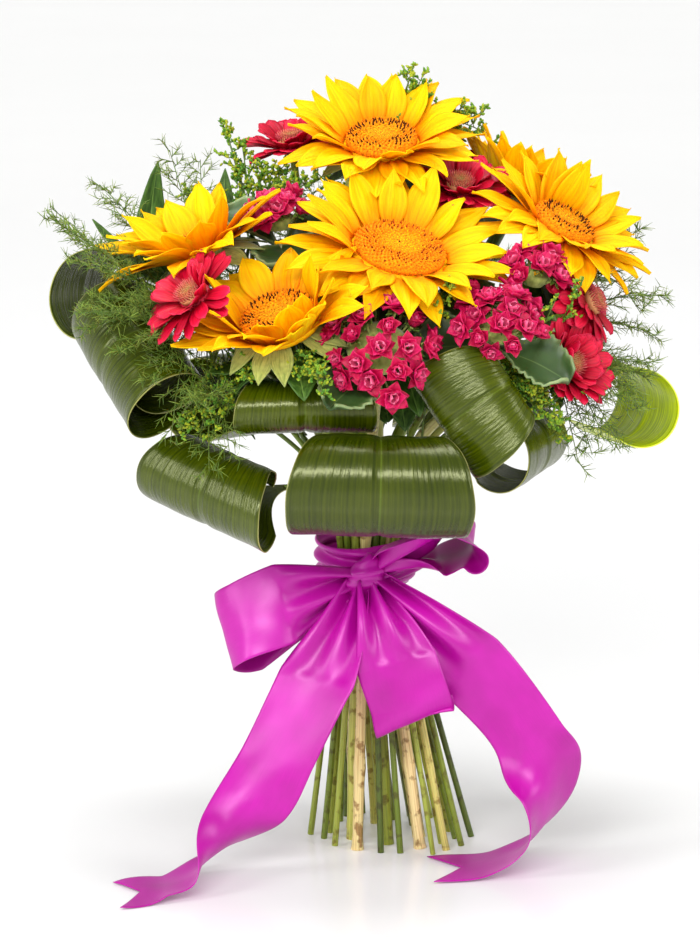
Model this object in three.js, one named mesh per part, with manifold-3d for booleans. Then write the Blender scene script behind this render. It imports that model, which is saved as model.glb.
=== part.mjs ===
// A hand-tied mixed flower bouquet that stands on its splayed cut stems.
// Millimetres, +Z up. The stems are tied at the neck, where the bundle is thinnest.
import * as THREE from 'three';
import { mergeVertices } from 'three/addons/utils/BufferGeometryUtils.js';
import Module from 'manifold-3d';

const wasm = await Module();
wasm.setup();

// Driving dimensions of the bundle of stems
const NECK_HEIGHT = 178;
const STEM_SPLAY = 0.0089;
const STEM_TWIST = 0.0067;
const STEM_LEAN = 0.07;
const NECK_SOFTNESS = 15;
const SPREAD_TOP = 24;
const STEM_GAP = 0.45;
const CLEARANCE = 0.3;
const CURVE_PULL = 0.42;
const INWARD_WISH = 0.7;

// Levels along the axis of a flower head, below the rim of its disc
const CUP_TOP = -7.9;
const SEPAL_LEVEL = -9.4;
const PLATE_LOW = -7.4;
const PLATE_HIGH = -4.3;
const DISC_LOW = -3.8;
const PLATE_SIDES = 8;
const PLATE_OVERHANG = 2.6;
const PETAL_ROOT = 1.4;
const PETAL_CURL = 0.04;
const CUP_FOOT = 0.8;
const CUP_RIM = 0.9;

// How one petal may differ from the next, in size, droop, place, twist and lift
const LEAST_SIZE = 0.9;
const SIZE_SPREAD = 0.2;
const LEAST_DROOP = 0.7;
const DROOP_SPREAD = 0.6;
const PETAL_SWAY = 0.08;
const PETAL_TWIST = 0.3;
const ROW_STEP = 0.6;
const ROW_LIFT = 0.16;
const LIFT_SPREAD = 0.05;

// Driving dimensions of the leaves and the ribbon
const LEAF_THICKNESS = 1.1;
const RIBBON_WIDTH = 50;
const RIBBON_THICKNESS = 1.1;
const TWINE_DIAMETER = 1.8;
const TWINE_GAP = 0.9;

// Stem radii at each kind of flower and leaf
const SUNFLOWER_STEM = 4.2;
const GERBERA_STEM = 2.3;
const KALANCHOE_STEM = 3.4;
const LEAF_STALK = 2.0;
const STALK_EDGE = 0.12;
const FILLER_STEM = 1.7;
const STEM_END = -3.5;
const SEAT_GAP = 0.4;
const FLORET_SIDES = 8;
const FLORET_CORE = 0.63;
const FLORET_ROOT = 0.57;
const TWIG_BOW = 6;
const FORK_SPREAD = 0.05;
const BUDS_PER_TWIG = 4;
const NEEDLES_PER_BRANCH = 5;

// Corners closer than this count as one place, and flatter slivers than this are taken out
const TWIN_GAP = 0.01;
const SLIVER = 0.03;

// Colours taken by eye
const COLOURS = {
  sunYellow: 0xfcc80a,
  sunDisc: 0xc98a1c,
  crimson: 0xc0143c,
  gerberaDisc: 0xd8643c,
  pink: 0xd81862,
  succulent: 0x5d7a4a,
  stemGreen: 0x6d8a3a,
  leafGreen: 0x2f5518,
  goldenrod: 0x7fa02a,
  fern: 0x3f6f2a,
  twine: 0xb09468,
  ribbon: 0xc22fb0,
};

// Each sunflower: place of the disc, facing, sizes, petal lift, and extra lift on one side
const SUNFLOWERS = [
  { name: 'sunflower_top', at: [10, 25, 440], face: [-0.02, -0.32, 0.95],
    disc: 22, petal: 42, lift: 0.34, side: 1.6, extra: 0.25, neck: [1.5, 0.2] },
  { name: 'sunflower_front', at: [21, -58, 386], face: [0.2, -0.34, 0.92],
    disc: 28, petal: 46, lift: 0.2, side: 1.7, extra: 0.32, neck: [4.9, 0.3] },
  { name: 'sunflower_low_left', at: [-52, -98, 352], face: [-0.25, -0.42, 0.87],
    disc: 23, petal: 40, lift: 0.5, side: 4.9, extra: 0.42, neck: [4.1, 0.35] },
  { name: 'sunflower_left', at: [-102, -28, 384], face: [-0.4, -0.02, 0.92],
    disc: 19, petal: 46, lift: 0.5, side: 1.9, extra: 0.22, neck: [3.3, 0.5] },
  { name: 'sunflower_right_back', at: [97, 59, 402], face: [0.42, 0.28, 0.87],
    disc: 18, petal: 42, lift: 0.72, side: 2.0, extra: 0.25, neck: [0.6, 0.5] },
  { name: 'sunflower_right', at: [122, -8, 393], face: [0.46, -0.2, 0.87],
    disc: 20, petal: 40, lift: 0.2, side: 1.6, extra: 0.3, neck: [0.1, 0.5] },
];

// Each mini gerbera: place of the disc, facing, lift of the petals
const GERBERAS = [
  { name: 'gerbera_left', at: [-104, -101, 366], face: [-0.55, -0.42, 0.72],
    petal: 25, lift: 0.05, neck: [3.8, 0.75] },
  { name: 'gerbera_top_left', at: [-46, 45, 436], face: [-0.12, -0.16, 0.98],
    petal: 24, lift: 0.2, neck: [2.2, 0.8] },
  { name: 'gerbera_top_right', at: [58, 5, 415], face: [0.12, -0.42, 0.9],
    petal: 24, lift: 0.22, neck: [5.9, 0.2] },
  { name: 'gerbera_right', at: [139, -42, 350], face: [0.86, -0.24, 0.44],
    petal: 24, lift: -0.45, neck: [5.8, 0.9] },
  { name: 'gerbera_low_right', at: [124, -72, 318], face: [0.66, -0.6, 0.44],
    petal: 22, lift: 0.5, neck: [5.75, 1] },
  { name: 'gerbera_back', at: [62, 84, 410], face: [0.12, 0.5, 0.86],
    petal: 24, lift: 0.15, neck: [1.2, 0.8] },
];

// Each kalanchoe: lobes of florets, with the centre, facing, dome radius, spread and count
const KALANCHOES = [
  { name: 'kalanchoe_front', neck: [4.75, 0.5], leafCount: 5, leafTurn: 0.3,
    lobes: [{ at: [7, -95, 322], face: [0, -0.7, 0.7], dome: 42, spread: 1.06, count: 22 }] },
  { name: 'kalanchoe_right', neck: [5.4, 0.5], leafCount: 5, leafTurn: 0.9,
    lobes: [{ at: [76, -84, 334], face: [0.12, -0.6, 0.78], dome: 32, spread: 1.0, count: 15 },
      { at: [98, -54, 358], face: [0.25, -0.25, 0.93], dome: 27, spread: 0.85, count: 8 }] },
  { name: 'kalanchoe_left', neck: [2.9, 0.3], leafCount: 3, leafTurn: 0.6,
    lobes: [{ at: [-52, -18, 385], face: [-0.1, -0.2, 0.97], dome: 26, spread: 0.85, count: 9 }] },
];

// Each folded aspidistra leaf: centre of its roll, axis, outward side, half width, radii and turn
const LEAF_ROLLS = [
  { name: 'leaf_front_low', at: [8, -124, 254], axis: [1, 0.02, -0.03], out: [0, -1, 0],
    half: 56, radii: [26, 30], turn: 5.0, neck: [4.85, 1] },
  { name: 'leaf_left_low', at: [-86, -84, 242], axis: [0.75, -0.62, -0.2], out: [-0.62, -0.75, 0],
    half: 50, radii: [22, 23], turn: 5.0, neck: [3.9, 1] },
  { name: 'leaf_front_middle', at: [-36, -93, 296], axis: [1, 0.02, 0.01], out: [0, -1, 0],
    half: 43, radii: [20, 16], turn: 5.0, neck: [4.35, 0.75] },
  { name: 'leaf_right_slant', at: [66, -106, 298], axis: [0.55, -0.28, -0.78], out: [-0.1, -1, 0.2],
    half: 38, radii: [14, 25], turn: 4.6, neck: [5.1, 0.9] },
  { name: 'leaf_left_wide', at: [-136, -52, 314], axis: [0.41, -0.77, -0.48], out: [-1, -0.4, 0.2],
    half: 48, radii: [26, 27], turn: 7.4, neck: [3.5, 1] },
  { name: 'leaf_left_back', at: [-157, 26, 343], axis: [-0.48, -0.86, 0.1], out: [-1, 0, 0.2],
    half: 36, radii: [22, 28], turn: 4.8, neck: [2.9, 1] },
  { name: 'leaf_right_low', at: [90, -40, 259], axis: [-0.36, -0.93, 0], out: [1, -0.1, 0],
    half: 37, radii: [23, 22], turn: 5.0, neck: [6.12, 1] },
  { name: 'leaf_right_wide', at: [156, 6, 277], axis: [0.4, -0.9, 0.05], out: [1, -0.1, 0],
    half: 40, radii: [22, 24], turn: 5.0, neck: [0.2, 1] },
  { name: 'leaf_back_left', at: [-72, 104, 262], axis: [-0.82, -0.56, 0], out: [-0.56, 0.82, 0],
    half: 54, radii: [25, 27], turn: 5.0, neck: [2.3, 1] },
  { name: 'leaf_back_right', at: [60, 110, 262], axis: [-0.9, 0.42, 0], out: [0.42, 0.9, 0],
    half: 54, radii: [25, 27], turn: 5.0, neck: [1.1, 1] },
];

// Goldenrod sprays: ends of the twigs that carry the buds
const GOLDENRODS = [
  { name: 'goldenrod_top', neck: [1.7, 0.6], fork: [12, 62, 400],
    tips: [[30, 50, 480], [62, 48, 456], [-16, 78, 446], [36, 110, 418], [-30, 108, 404]] },
  { name: 'goldenrod_left', neck: [3.0, 0.8], fork: [-70, 22, 380],
    tips: [[-88, 42, 445], [-64, 30, 428], [-112, 62, 400], [-80, 92, 392], [-120, 34, 372]] },
  { name: 'goldenrod_right', neck: [5.9, 0.9], fork: [70, -50, 310],
    tips: [[100, -98, 300], [112, -104, 286], [98, -104, 366], [44, -96, 360], [132, -78, 298]] },
];

// Fern sprays: ends of the feathered branches
const FERNS = [
  { name: 'fern_left', neck: [2.9, 0.6], fork: [-96, -44, 338],
    tips: [[-176, -70, 378], [-168, -96, 352], [-190, -50, 402], [-150, -104, 330], [-118, -132, 300],
      [-140, -128, 276], [-96, -134, 306]] },
  { name: 'fern_right', neck: [6.2, 0.5], fork: [108, -16, 330],
    tips: [[186, -40, 352], [176, -60, 320], [160, -80, 290], [172, -30, 300], [150, -86, 318],
      [170, 40, 380]] },
  { name: 'fern_back', neck: [1.9, 0.9], fork: [-10, 70, 350],
    tips: [[-66, 128, 370], [-14, 142, 380], [44, 138, 362], [-110, 108, 350], [104, 112, 352]] },
];

// Outline of the bow: centre lines of the two tails and three loops, with the direction across
const LEFT_TAIL = {
  path: [[-4, -36, 172], [-16, -56, 146], [-34, -72, 112], [-54, -84, 74], [-74, -94, 40], [-98, -104, 13],
    [-122, -114, 2.6], [-150, -126, 1.5]],
  across: [[1, -0.1, 0.2], [1, -0.1, 0.3], [0.96, -0.2, 0.3], [0.94, -0.2, 0.35], [0.85, 0.2, 0.5],
    [0.6, 0.75, 0.42], [0.42, 0.9, 0.05], [0.4, 0.92, 0]],
};
const RIGHT_TAIL = {
  path: [[6, -36, 174], [36, -52, 150], [72, -62, 118], [100, -68, 82], [113, -70, 50], [104, -70, 20],
    [78, -72, 3.6], [40, -78, 1.5]],
  across: [[0.5, 0, 0.86], [0.6, -0.1, 0.8], [0.66, -0.2, 0.72], [0.8, -0.35, 0.5], [0.72, 0.62, 0.3],
    [0.3, 0.94, 0.1], [0.16, 0.98, 0], [0.2, 0.98, 0]],
};
const LEFT_LOOP = {
  path: [[-6, -34, 174], [-30, -44, 168], [-56, -53, 161], [-77, -53, 152], [-87, -41, 142],
    [-75, -29, 138], [-48, -27, 147], [-10, -33, 167]],
  across: [[0.1, -0.3, 0.95], [0.05, 0.1, 1], [-0.1, 0.35, 0.93], [-0.2, 0.5, 0.85], [-0.2, 0.55, 0.82],
    [-0.15, 0.5, 0.85], [-0.05, 0.4, 0.9], [0.1, 0.2, 0.97]],
};
const RIGHT_LOOP = {
  path: [[8, -34, 182], [26, -46, 196], [48, -48, 204], [64, -42, 202], [66, -34, 194], [50, -30, 186],
    [30, -32, 182], [8, -31, 176]],
  across: [[-0.1, -0.5, 0.86], [-0.1, -0.85, 0.5], [0, -0.95, 0.3], [0.1, -1, 0], [0.1, -1, 0],
    [0, -0.97, -0.2], [0, -0.9, 0.4], [0, -0.5, 0.86]],
};
const HANGING_LOOP = {
  path: [[2, -38, 172], [12, -58, 152], [21, -68, 124], [28, -70, 103], [30, -66, 92], [30, -58, 98],
    [22, -54, 122], [8, -38, 160]],
  across: [[1, 0, -0.2], [1, 0, -0.1], [0.96, 0, 0.22], [0.93, 0, 0.35], [0.93, 0, 0.35], [0.93, 0, 0.35],
    [1, 0, 0.1], [1, 0, 0]],
};

const UP = new THREE.Vector3(0, 0, 1);

function vector(list) {
  return new THREE.Vector3(list[0], list[1], list[2]);
}

// Same sequence on every run, so the draw of petals and buds never changes
function draw(seed, index) {
  const value = Math.sin(seed * 12.9898 + index * 78.233) * 43758.5453;
  return value - Math.floor(value);
}

function spreadDraw(seed, index) {
  return draw(seed, index) * 2 - 1;
}

// Turns a closed three.js geometry into a solid for joining and cutting
function solid(geometry) {
  const bare = geometry.clone();
  bare.deleteAttribute('normal');
  bare.deleteAttribute('uv');
  const merged = mergeVertices(bare, 1e-4);
  const position = merged.attributes.position;
  const corners = [];
  const index = merged.index.array;
  let volume = 0;
  const a = new THREE.Vector3();
  const b = new THREE.Vector3();
  const c = new THREE.Vector3();
  for (let i = 0; i < index.length; i += 3) {
    const [p, q, r] = [index[i], index[i + 1], index[i + 2]];
    if (p === q || q === r || r === p) continue;
    corners.push(p, q, r);
    a.fromBufferAttribute(position, p);
    b.fromBufferAttribute(position, q);
    c.fromBufferAttribute(position, r);
    volume += a.dot(b.cross(c));
  }
  if (volume < 0) corners.reverse();
  const vertProperties = new Float32Array(position.array);
  const triVerts = new Uint32Array(corners);
  return new wasm.Manifold(new wasm.Mesh({ numProp: 3, vertProperties, triVerts }));
}

function join(solids) {
  return wasm.Manifold.union(solids);
}

// Keeps the largest body of a solid, so that a loose scrap is dropped
function largestBody(shape) {
  const bodies = shape.decompose();
  return bodies.reduce((best, body) => (body.volume() > best.volume() ? body : best));
}

// Joining can leave two corners in one place: the second is drawn back towards its own faces
function partTwins(points, corners) {
  const places = [];
  for (let i = 0; i < points.length; i += 3) places.push(new THREE.Vector3().fromArray(points, i));
  places.forEach((place, i) => {
    const twin = places.findIndex((other, j) => j < i && other.distanceTo(place) < TWIN_GAP);
    if (twin < 0) return;
    const middle = new THREE.Vector3();
    let count = 0;
    for (let j = 0; j < corners.length; j += 3) {
      const face = [corners[j], corners[j + 1], corners[j + 2]];
      if (!face.includes(i)) continue;
      face.forEach((corner) => middle.add(places[corner]));
      count += 3;
    }
    const pull = middle.divideScalar(count).sub(place).setLength(2 * TWIN_GAP);
    place.add(pull).toArray(points, i * 3);
  });
}

function geometryOf(shape) {
  const mesh = shape.getMesh();
  partTwins(mesh.vertProperties, mesh.triVerts);
  const geometry = new THREE.BufferGeometry();
  geometry.setAttribute('position', new THREE.BufferAttribute(mesh.vertProperties, 3));
  geometry.setIndex(new THREE.BufferAttribute(mesh.triVerts, 1));
  geometry.computeVertexNormals();
  return geometry;
}

// A cone or cylinder whose rings are moved to where place puts them
function bent(sides, steps, pointed, place) {
  const geometry = new THREE.CylinderGeometry(pointed ? 0 : 1, 1, 1, sides, steps);
  const position = geometry.attributes.position;
  const point = new THREE.Vector3();
  for (let i = 0; i < position.count; i += 1) {
    point.fromBufferAttribute(position, i);
    const reach = Math.hypot(point.x, point.z);
    const across = reach > 1e-5 ? point.x / reach : 0;
    const up = reach > 1e-5 ? point.z / reach : 0;
    const placed = place(point.y + 0.5, across, up);
    position.setXYZ(i, placed.x, placed.y, placed.z);
  }
  return solid(geometry);
}

// A thin sheet over a surface of (u, v), with both faces split into triangles alike
function sheet(columns, rows, thickness, surface) {
  const plane = new THREE.PlaneGeometry(2, 1, columns, rows);
  const flat = plane.attributes.position;
  const count = flat.count;
  const points = new Float32Array(count * 6);
  const step = 0.004;
  for (let i = 0; i < count; i += 1) {
    const u = flat.getX(i);
    const v = flat.getY(i) + 0.5;
    const centre = surface(u, v);
    const alongU = surface(u + step, v).sub(surface(u - step, v));
    const lowV = Math.max(v - step, 0);
    const highV = Math.min(v + step, 1);
    const alongV = surface(u, highV).sub(surface(u, lowV));
    const normal = alongU.cross(alongV).normalize().multiplyScalar(thickness / 2);
    points.set(centre.clone().add(normal).toArray(), i * 3);
    points.set(centre.clone().sub(normal).toArray(), (count + i) * 3);
  }
  const front = Array.from(plane.index.array);
  const corners = [...front];
  for (let i = 0; i < front.length; i += 3) {
    corners.push(front[i] + count, front[i + 2] + count, front[i + 1] + count);
  }
  const rim = [];
  const rowLength = columns + 1;
  for (let i = 0; i < columns; i += 1) rim.push(i);
  for (let j = 0; j < rows; j += 1) rim.push(j * rowLength + columns);
  for (let i = columns; i > 0; i -= 1) rim.push(rows * rowLength + i);
  for (let j = rows; j > 0; j -= 1) rim.push(j * rowLength);
  rim.forEach((here, i) => {
    const next = rim[(i + 1) % rim.length];
    corners.push(here, next, next + count);
    corners.push(here, next + count, here + count);
  });
  const geometry = new THREE.BufferGeometry();
  geometry.setAttribute('position', new THREE.BufferAttribute(points, 3));
  geometry.setAttribute('normal', new THREE.BufferAttribute(new Float32Array(count * 6), 3));
  geometry.setAttribute('uv', new THREE.BufferAttribute(new Float32Array(count * 4), 2));
  geometry.setIndex(corners);
  return solid(geometry);
}

// The place of a stem at a height, from its place in the neck: all stems grow apart alike
function bundlePoint(neck, height) {
  const rise = height - NECK_HEIGHT;
  const grow = 1 + STEM_SPLAY * (Math.hypot(rise, NECK_SOFTNESS) - NECK_SOFTNESS);
  const turn = STEM_TWIST * rise;
  const x = grow * neck.x - turn * neck.y - STEM_LEAN * rise;
  const y = grow * neck.y + turn * neck.x;
  return new THREE.Vector3(x, y, height);
}

// Packs round stems in the neck, each against two placed before it, on the side it is wanted
function packNeck(stems) {
  const placed = [];
  stems.forEach((stem) => {
    const [angle, rank] = stem.neck;
    const want = new THREE.Vector2(Math.cos(angle), Math.sin(angle)).multiplyScalar(rank * 19);
    const spots = [];
    if (placed.length === 0) spots.push(new THREE.Vector2(0, 0));
    if (placed.length === 1) {
      spots.push(new THREE.Vector2(placed[0].radius + stem.radius + STEM_GAP, 0));
    }
    for (let i = 0; i < placed.length; i += 1) {
      for (let j = 0; j < placed.length; j += 1) {
        if (i === j) continue;
        const first = placed[i];
        const second = placed[j];
        const span = first.spot.distanceTo(second.spot);
        const reachA = first.radius + stem.radius + STEM_GAP;
        const reachB = second.radius + stem.radius + STEM_GAP;
        if (span > reachA + reachB) continue;
        const along = (reachA * reachA - reachB * reachB + span * span) / (2 * span);
        const off = Math.sqrt(Math.max(reachA * reachA - along * along, 0));
        const line = second.spot.clone().sub(first.spot).divideScalar(span);
        spots.push(new THREE.Vector2(
          first.spot.x + line.x * along - line.y * off,
          first.spot.y + line.y * along + line.x * off,
        ));
      }
    }
    const free = spots.filter((spot) => placed.every(
      (other) => spot.distanceTo(other.spot) > other.radius + stem.radius + STEM_GAP - 1e-6,
    ));
    const cost = (spot) => spot.length() * INWARD_WISH + spot.distanceTo(want);
    free.sort((p, q) => cost(p) - cost(q));
    placed.push({ spot: free[0], radius: stem.radius });
  });
  return placed.map((entry) => entry.spot);
}

// Centre line of a stem from the floor through the neck to a head that faces along end
function stemCurve(neck, head, end) {
  const start = bundlePoint(neck, NECK_HEIGHT + SPREAD_TOP);
  const ahead = bundlePoint(neck, NECK_HEIGHT + SPREAD_TOP + 1).sub(start).normalize();
  const reach = start.distanceTo(head) * CURVE_PULL;
  const upper = new THREE.CubicBezierCurve3(
    start,
    start.clone().addScaledVector(ahead, reach),
    head.clone().addScaledVector(end, -reach),
    head,
  );
  return upper;
}

// A stem as one tube: level rings up to the top of the bundle, then rings square to the curve
function stemTube(neck, radius, upper, sides, upperSteps, endRadius) {
  const levels = [0, 0.45, 0.85, 1, 1.135];
  const lower = levels.length - 1;
  const steps = lower + upperSteps;
  const turner = new THREE.Quaternion();
  return bent(sides, steps, false, (along, across, up) => {
    const ring = Math.round(along * steps);
    const offset = new THREE.Vector3(across, up, 0);
    if (ring <= lower) {
      const height = ring === lower ? NECK_HEIGHT + SPREAD_TOP : levels[ring] * NECK_HEIGHT;
      return bundlePoint(neck, height).addScaledVector(offset, radius);
    }
    const t = (ring - lower) / upperSteps;
    turner.setFromUnitVectors(UP, upper.getTangent(t));
    const width = radius + (endRadius - radius) * t;
    return upper.getPoint(t).addScaledVector(offset.applyQuaternion(turner), width);
  });
}

// Axes of a head: u to the right, v to the back, n the way it faces
function headFrame(at, face) {
  const n = vector(face).normalize();
  const u = new THREE.Vector3(0, 1, 0).cross(n).normalize();
  const v = n.clone().cross(u);
  return { at: vector(at), u, v, n };
}

function inFrame(frame, x, y, z) {
  const point = frame.at.clone().addScaledVector(frame.n, z);
  return point.addScaledVector(frame.u, x).addScaledVector(frame.v, y);
}

// A turned body on a head's axis, with a relief added by the formula in relief
function turned(frame, profile, segments, relief) {
  const points = profile.map(([radius, height]) => new THREE.Vector2(radius, height));
  const geometry = new THREE.LatheGeometry(points, segments);
  const position = geometry.attributes.position;
  for (let i = 0; i < position.count; i += 1) {
    const x = position.getX(i);
    const y = position.getZ(i);
    const z = position.getY(i) + relief(Math.hypot(x, y), Math.atan2(y, x));
    const placed = inFrame(frame, x, y, z);
    position.setXYZ(i, placed.x, placed.y, placed.z);
  }
  return solid(geometry);
}

function level() {
  return 0;
}

// One petal or sepal: a blade with a raised rib, curved along its length
function blade(frame, shape, lift, size, swell) {
  const length = shape.length * size + swell;
  const radial = frame.u.clone().multiplyScalar(Math.cos(shape.azimuth));
  radial.addScaledVector(frame.v, Math.sin(shape.azimuth));
  const sideways = frame.n.clone().cross(radial);
  const steps = shape.steps;
  return bent(3, steps, true, (along, across, up) => {
    const t = along;
    const middle = lift + shape.droop * t / 2;
    const slope = lift + shape.droop * t;
    const point = frame.at.clone().addScaledVector(frame.n, shape.base);
    point.addScaledVector(radial, shape.root + length * t * Math.cos(middle));
    point.addScaledVector(frame.n, length * t * Math.sin(middle));
    const above = frame.n.clone().multiplyScalar(Math.cos(slope)).addScaledVector(radial, -Math.sin(slope));
    const turn = shape.twist * t;
    const flat = sideways.clone().multiplyScalar(Math.cos(turn)).addScaledVector(above, Math.sin(turn));
    const thick = above.clone().multiplyScalar(Math.cos(turn)).addScaledVector(sideways, -Math.sin(turn));
    const width = t > 0.999 ? 0 : shape.width * bladeProfile(t) + swell;
    const rib = t > 0.999 ? 0 : shape.thickness / 2 + swell;
    point.addScaledVector(flat, across * width);
    point.addScaledVector(thick, up * rib + Math.abs(across) * shape.curl * shape.width);
    return point;
  });
}

function bladeProfile(t) {
  return Math.pow(Math.sin(Math.PI * (0.13 + 0.87 * t)), 0.8);
}

// Solids placed so far, against which every later blade and twig is held clear
const taken = [];

function boxesMeet(a, b) {
  for (let axis = 0; axis < 3; axis += 1) {
    if (a.min[axis] > b.max[axis] || b.min[axis] > a.max[axis]) return false;
  }
  return true;
}

function isClear(shape) {
  const box = shape.boundingBox();
  return taken.every((other) => !boxesMeet(box, other.box) || shape.intersect(other.shape).isEmpty());
}

// Bends a blade up or down, and then shortens it, until it is clear of what is already there
function clearBlade(frame, shape) {
  const bends = [0, 0.14, -0.14, 0.28, -0.28, 0.42, -0.42, 0.6, -0.6, 0.8, 1.0, 1.2];
  for (const size of [1, 0.86, 0.72, 0.58, 0.45, 0.32]) {
    for (const bend of bends) {
      if (isClear(blade(frame, shape, shape.lift + bend, size, CLEARANCE))) {
        return blade(frame, shape, shape.lift + bend, size, 0);
      }
    }
  }
  return null;
}

const bouquet = new THREE.Group();

function addNode(name, shape, colour, roughness) {
  const body = largestBody(largestBody(shape).simplify(SLIVER));
  const material = new THREE.MeshStandardMaterial({ color: colour, roughness, metalness: 0 });
  const mesh = new THREE.Mesh(geometryOf(body), material);
  mesh.name = name;
  bouquet.add(mesh);
  taken.push({ shape: body, box: body.boundingBox() });
}

// Sunflowers and gerberas share one build: cup and stem, disc, ring with petals in layers

function composite(flower, kind) {
  return { ...kind, ...flower, frame: headFrame(flower.at, flower.face) };
}

const SUNFLOWER_KIND = {
  stem: SUNFLOWER_STEM, cup: 12, sepals: 6, sepalLength: 27, sepalWidth: 5.5,
  layers: [
    { count: 11, reach: 1, base: -6.6, lift: 0, steps: 3 },
    { count: 7, reach: 0.86, base: -4.9, lift: 0.42, steps: 2 },
  ],
  petalWidth: 8.2, thickness: 1.4, droop: -0.55, segments: 12, sides: 6, upperSteps: 4,
  mound: [[0.82, 3.4], [0.54, 3.6], [0.26, 2.2], [0, 2.4]],
  discColour: COLOURS.sunDisc, petalColour: COLOURS.sunYellow,
};

const GERBERA_KIND = {
  stem: GERBERA_STEM, cup: 10, sepals: 0, sepalLength: 0, sepalWidth: 0, disc: 8, side: 0, extra: 0,
  layers: [
    { count: 10, reach: 1, base: -6.6, lift: 0, steps: 2 },
    { count: 5, reach: 0.7, base: -4.9, lift: 0.5, steps: 2 },
  ],
  petalWidth: 4.4, thickness: 1.2, droop: -0.35, segments: 10, sides: 5, upperSteps: 4,
  mound: [[0.6, 2.8], [0, 1.8]], discColour: COLOURS.gerberaDisc, petalColour: COLOURS.crimson,
};

function headStemEnd(flower) {
  return inFrame(flower.frame, 0, 0, -flower.cup - 2);
}

// The green part: stem, cup under the disc and a ring of pointed sepals
function greenPart(flower, neck) {
  const end = headStemEnd(flower);
  const upper = stemCurve(neck, end, flower.frame.n);
  const outer = flower.disc;
  const cup = turned(flower.frame, [
    [0, -flower.cup - 4], [outer * CUP_FOOT, -flower.cup], [outer * CUP_RIM, CUP_TOP], [0, CUP_TOP],
  ], 8, level);
  return [stemTube(neck, flower.stem, upper, flower.sides, flower.upperSteps, flower.stem), cup];
}

function sepals(flower, seed) {
  const blades = [];
  for (let i = 0; i < flower.sepals; i += 1) {
    const shape = {
      azimuth: (i / flower.sepals) * 2 * Math.PI + 0.2 * spreadDraw(seed, i),
      length: (flower.sepalLength + 4) * (0.85 + 0.3 * draw(seed, i + 20)),
      width: flower.sepalWidth, thickness: 1.2, droop: -0.5, twist: 0.3 * spreadDraw(seed, i + 40),
      curl: 0, root: flower.disc - 6, base: SEPAL_LEVEL, lift: -0.14, steps: 2,
    };
    const placed = clearBlade(flower.frame, shape);
    if (placed) blades.push(placed);
  }
  return blades;
}

// The disc of florets: rings of alternate raised and sunk points
function discPart(flower) {
  const radius = flower.disc;
  const profile = [[0, DISC_LOW], [radius, DISC_LOW], [radius, -0.2]];
  for (const [part, height] of flower.mound) {
    profile.push([radius * part, height]);
  }
  const count = flower.segments;
  const ringsAcross = 4.5;
  const studHeight = 0.7;
  return turned(flower.frame, profile, count, (reach, angle) => {
    if (reach < radius * 0.3 || reach > radius * 0.95) return 0;
    const spoke = Math.round((angle / (2 * Math.PI)) * count);
    const ring = Math.round((reach / radius) * ringsAcross);
    return (spoke + ring) % 2 === 0 ? studHeight : -studHeight;
  });
}

// The ring that carries the petals, and the petals in two layers of unlike length and lift
function petalPart(flower, seed) {
  const outer = flower.disc + PLATE_OVERHANG;
  const plate = turned(flower.frame, [
    [0, PLATE_LOW], [outer, PLATE_LOW], [outer, PLATE_HIGH], [0, PLATE_HIGH],
  ], PLATE_SIDES, level);
  const blades = [plate];
  flower.layers.forEach((layer, order) => {
    for (let i = 0; i < layer.count; i += 1) {
      const key = seed + order * 7;
      const step = (i + 0.5 * order) / layer.count;
      const azimuth = step * 2 * Math.PI + PETAL_SWAY * spreadDraw(key, i);
      const shape = {
        azimuth,
        length: flower.petal * layer.reach * (LEAST_SIZE + SIZE_SPREAD * draw(key, i + 30)),
        width: flower.petalWidth * (LEAST_SIZE + SIZE_SPREAD * draw(key, i + 60)),
        thickness: flower.thickness,
        droop: flower.droop * (LEAST_DROOP + DROOP_SPREAD * draw(key, i + 90)),
        twist: PETAL_TWIST * spreadDraw(key, i + 120),
        curl: PETAL_CURL,
        root: flower.disc + PETAL_ROOT,
        base: layer.base + (i % 2) * ROW_STEP,
        lift: flower.lift + layer.lift + flower.extra * Math.cos(azimuth - flower.side)
          + (i % 2) * ROW_LIFT + LIFT_SPREAD * spreadDraw(key, i + 150),
        steps: layer.steps,
      };
      const placed = clearBlade(flower.frame, shape);
      if (placed) blades.push(placed);
    }
  });
  return join(blades);
}

// Kalanchoe: a fleshy leafy stem under domes of small double florets

function floretSpot(lobe, index) {
  const golden = Math.PI * (3 - Math.sqrt(5));
  const polar = lobe.spread * Math.sqrt((index + 0.4) / lobe.count);
  const angle = index * golden;
  const frame = headFrame(lobe.at, lobe.face);
  const direction = frame.u.clone().multiplyScalar(Math.sin(polar) * Math.cos(angle));
  direction.addScaledVector(frame.v, Math.sin(polar) * Math.sin(angle));
  direction.addScaledVector(frame.n, Math.cos(polar));
  return direction;
}

// One double floret: it opens from a point in the core of the bunch to a four-petalled star
function starredFloret(centre, direction, reach, radius) {
  const frame = headFrame(centre.toArray(), direction.toArray());
  const points = [
    new THREE.Vector2(0, reach * FLORET_ROOT),
    new THREE.Vector2(radius, reach),
    new THREE.Vector2(0, reach + 3.4),
  ];
  const geometry = new THREE.LatheGeometry(points, FLORET_SIDES);
  const position = geometry.attributes.position;
  for (let i = 0; i < position.count; i += 1) {
    const x = position.getX(i);
    const y = position.getZ(i);
    const spoke = Math.round((Math.atan2(y, x) / (2 * Math.PI)) * FLORET_SIDES);
    const pull = Math.abs(spoke) % 2 === 0 ? 1.12 : 0.78;
    const placed = inFrame(frame, x * pull, y * pull, position.getY(i));
    position.setXYZ(i, placed.x, placed.y, placed.z);
  }
  return solid(geometry);
}

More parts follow.
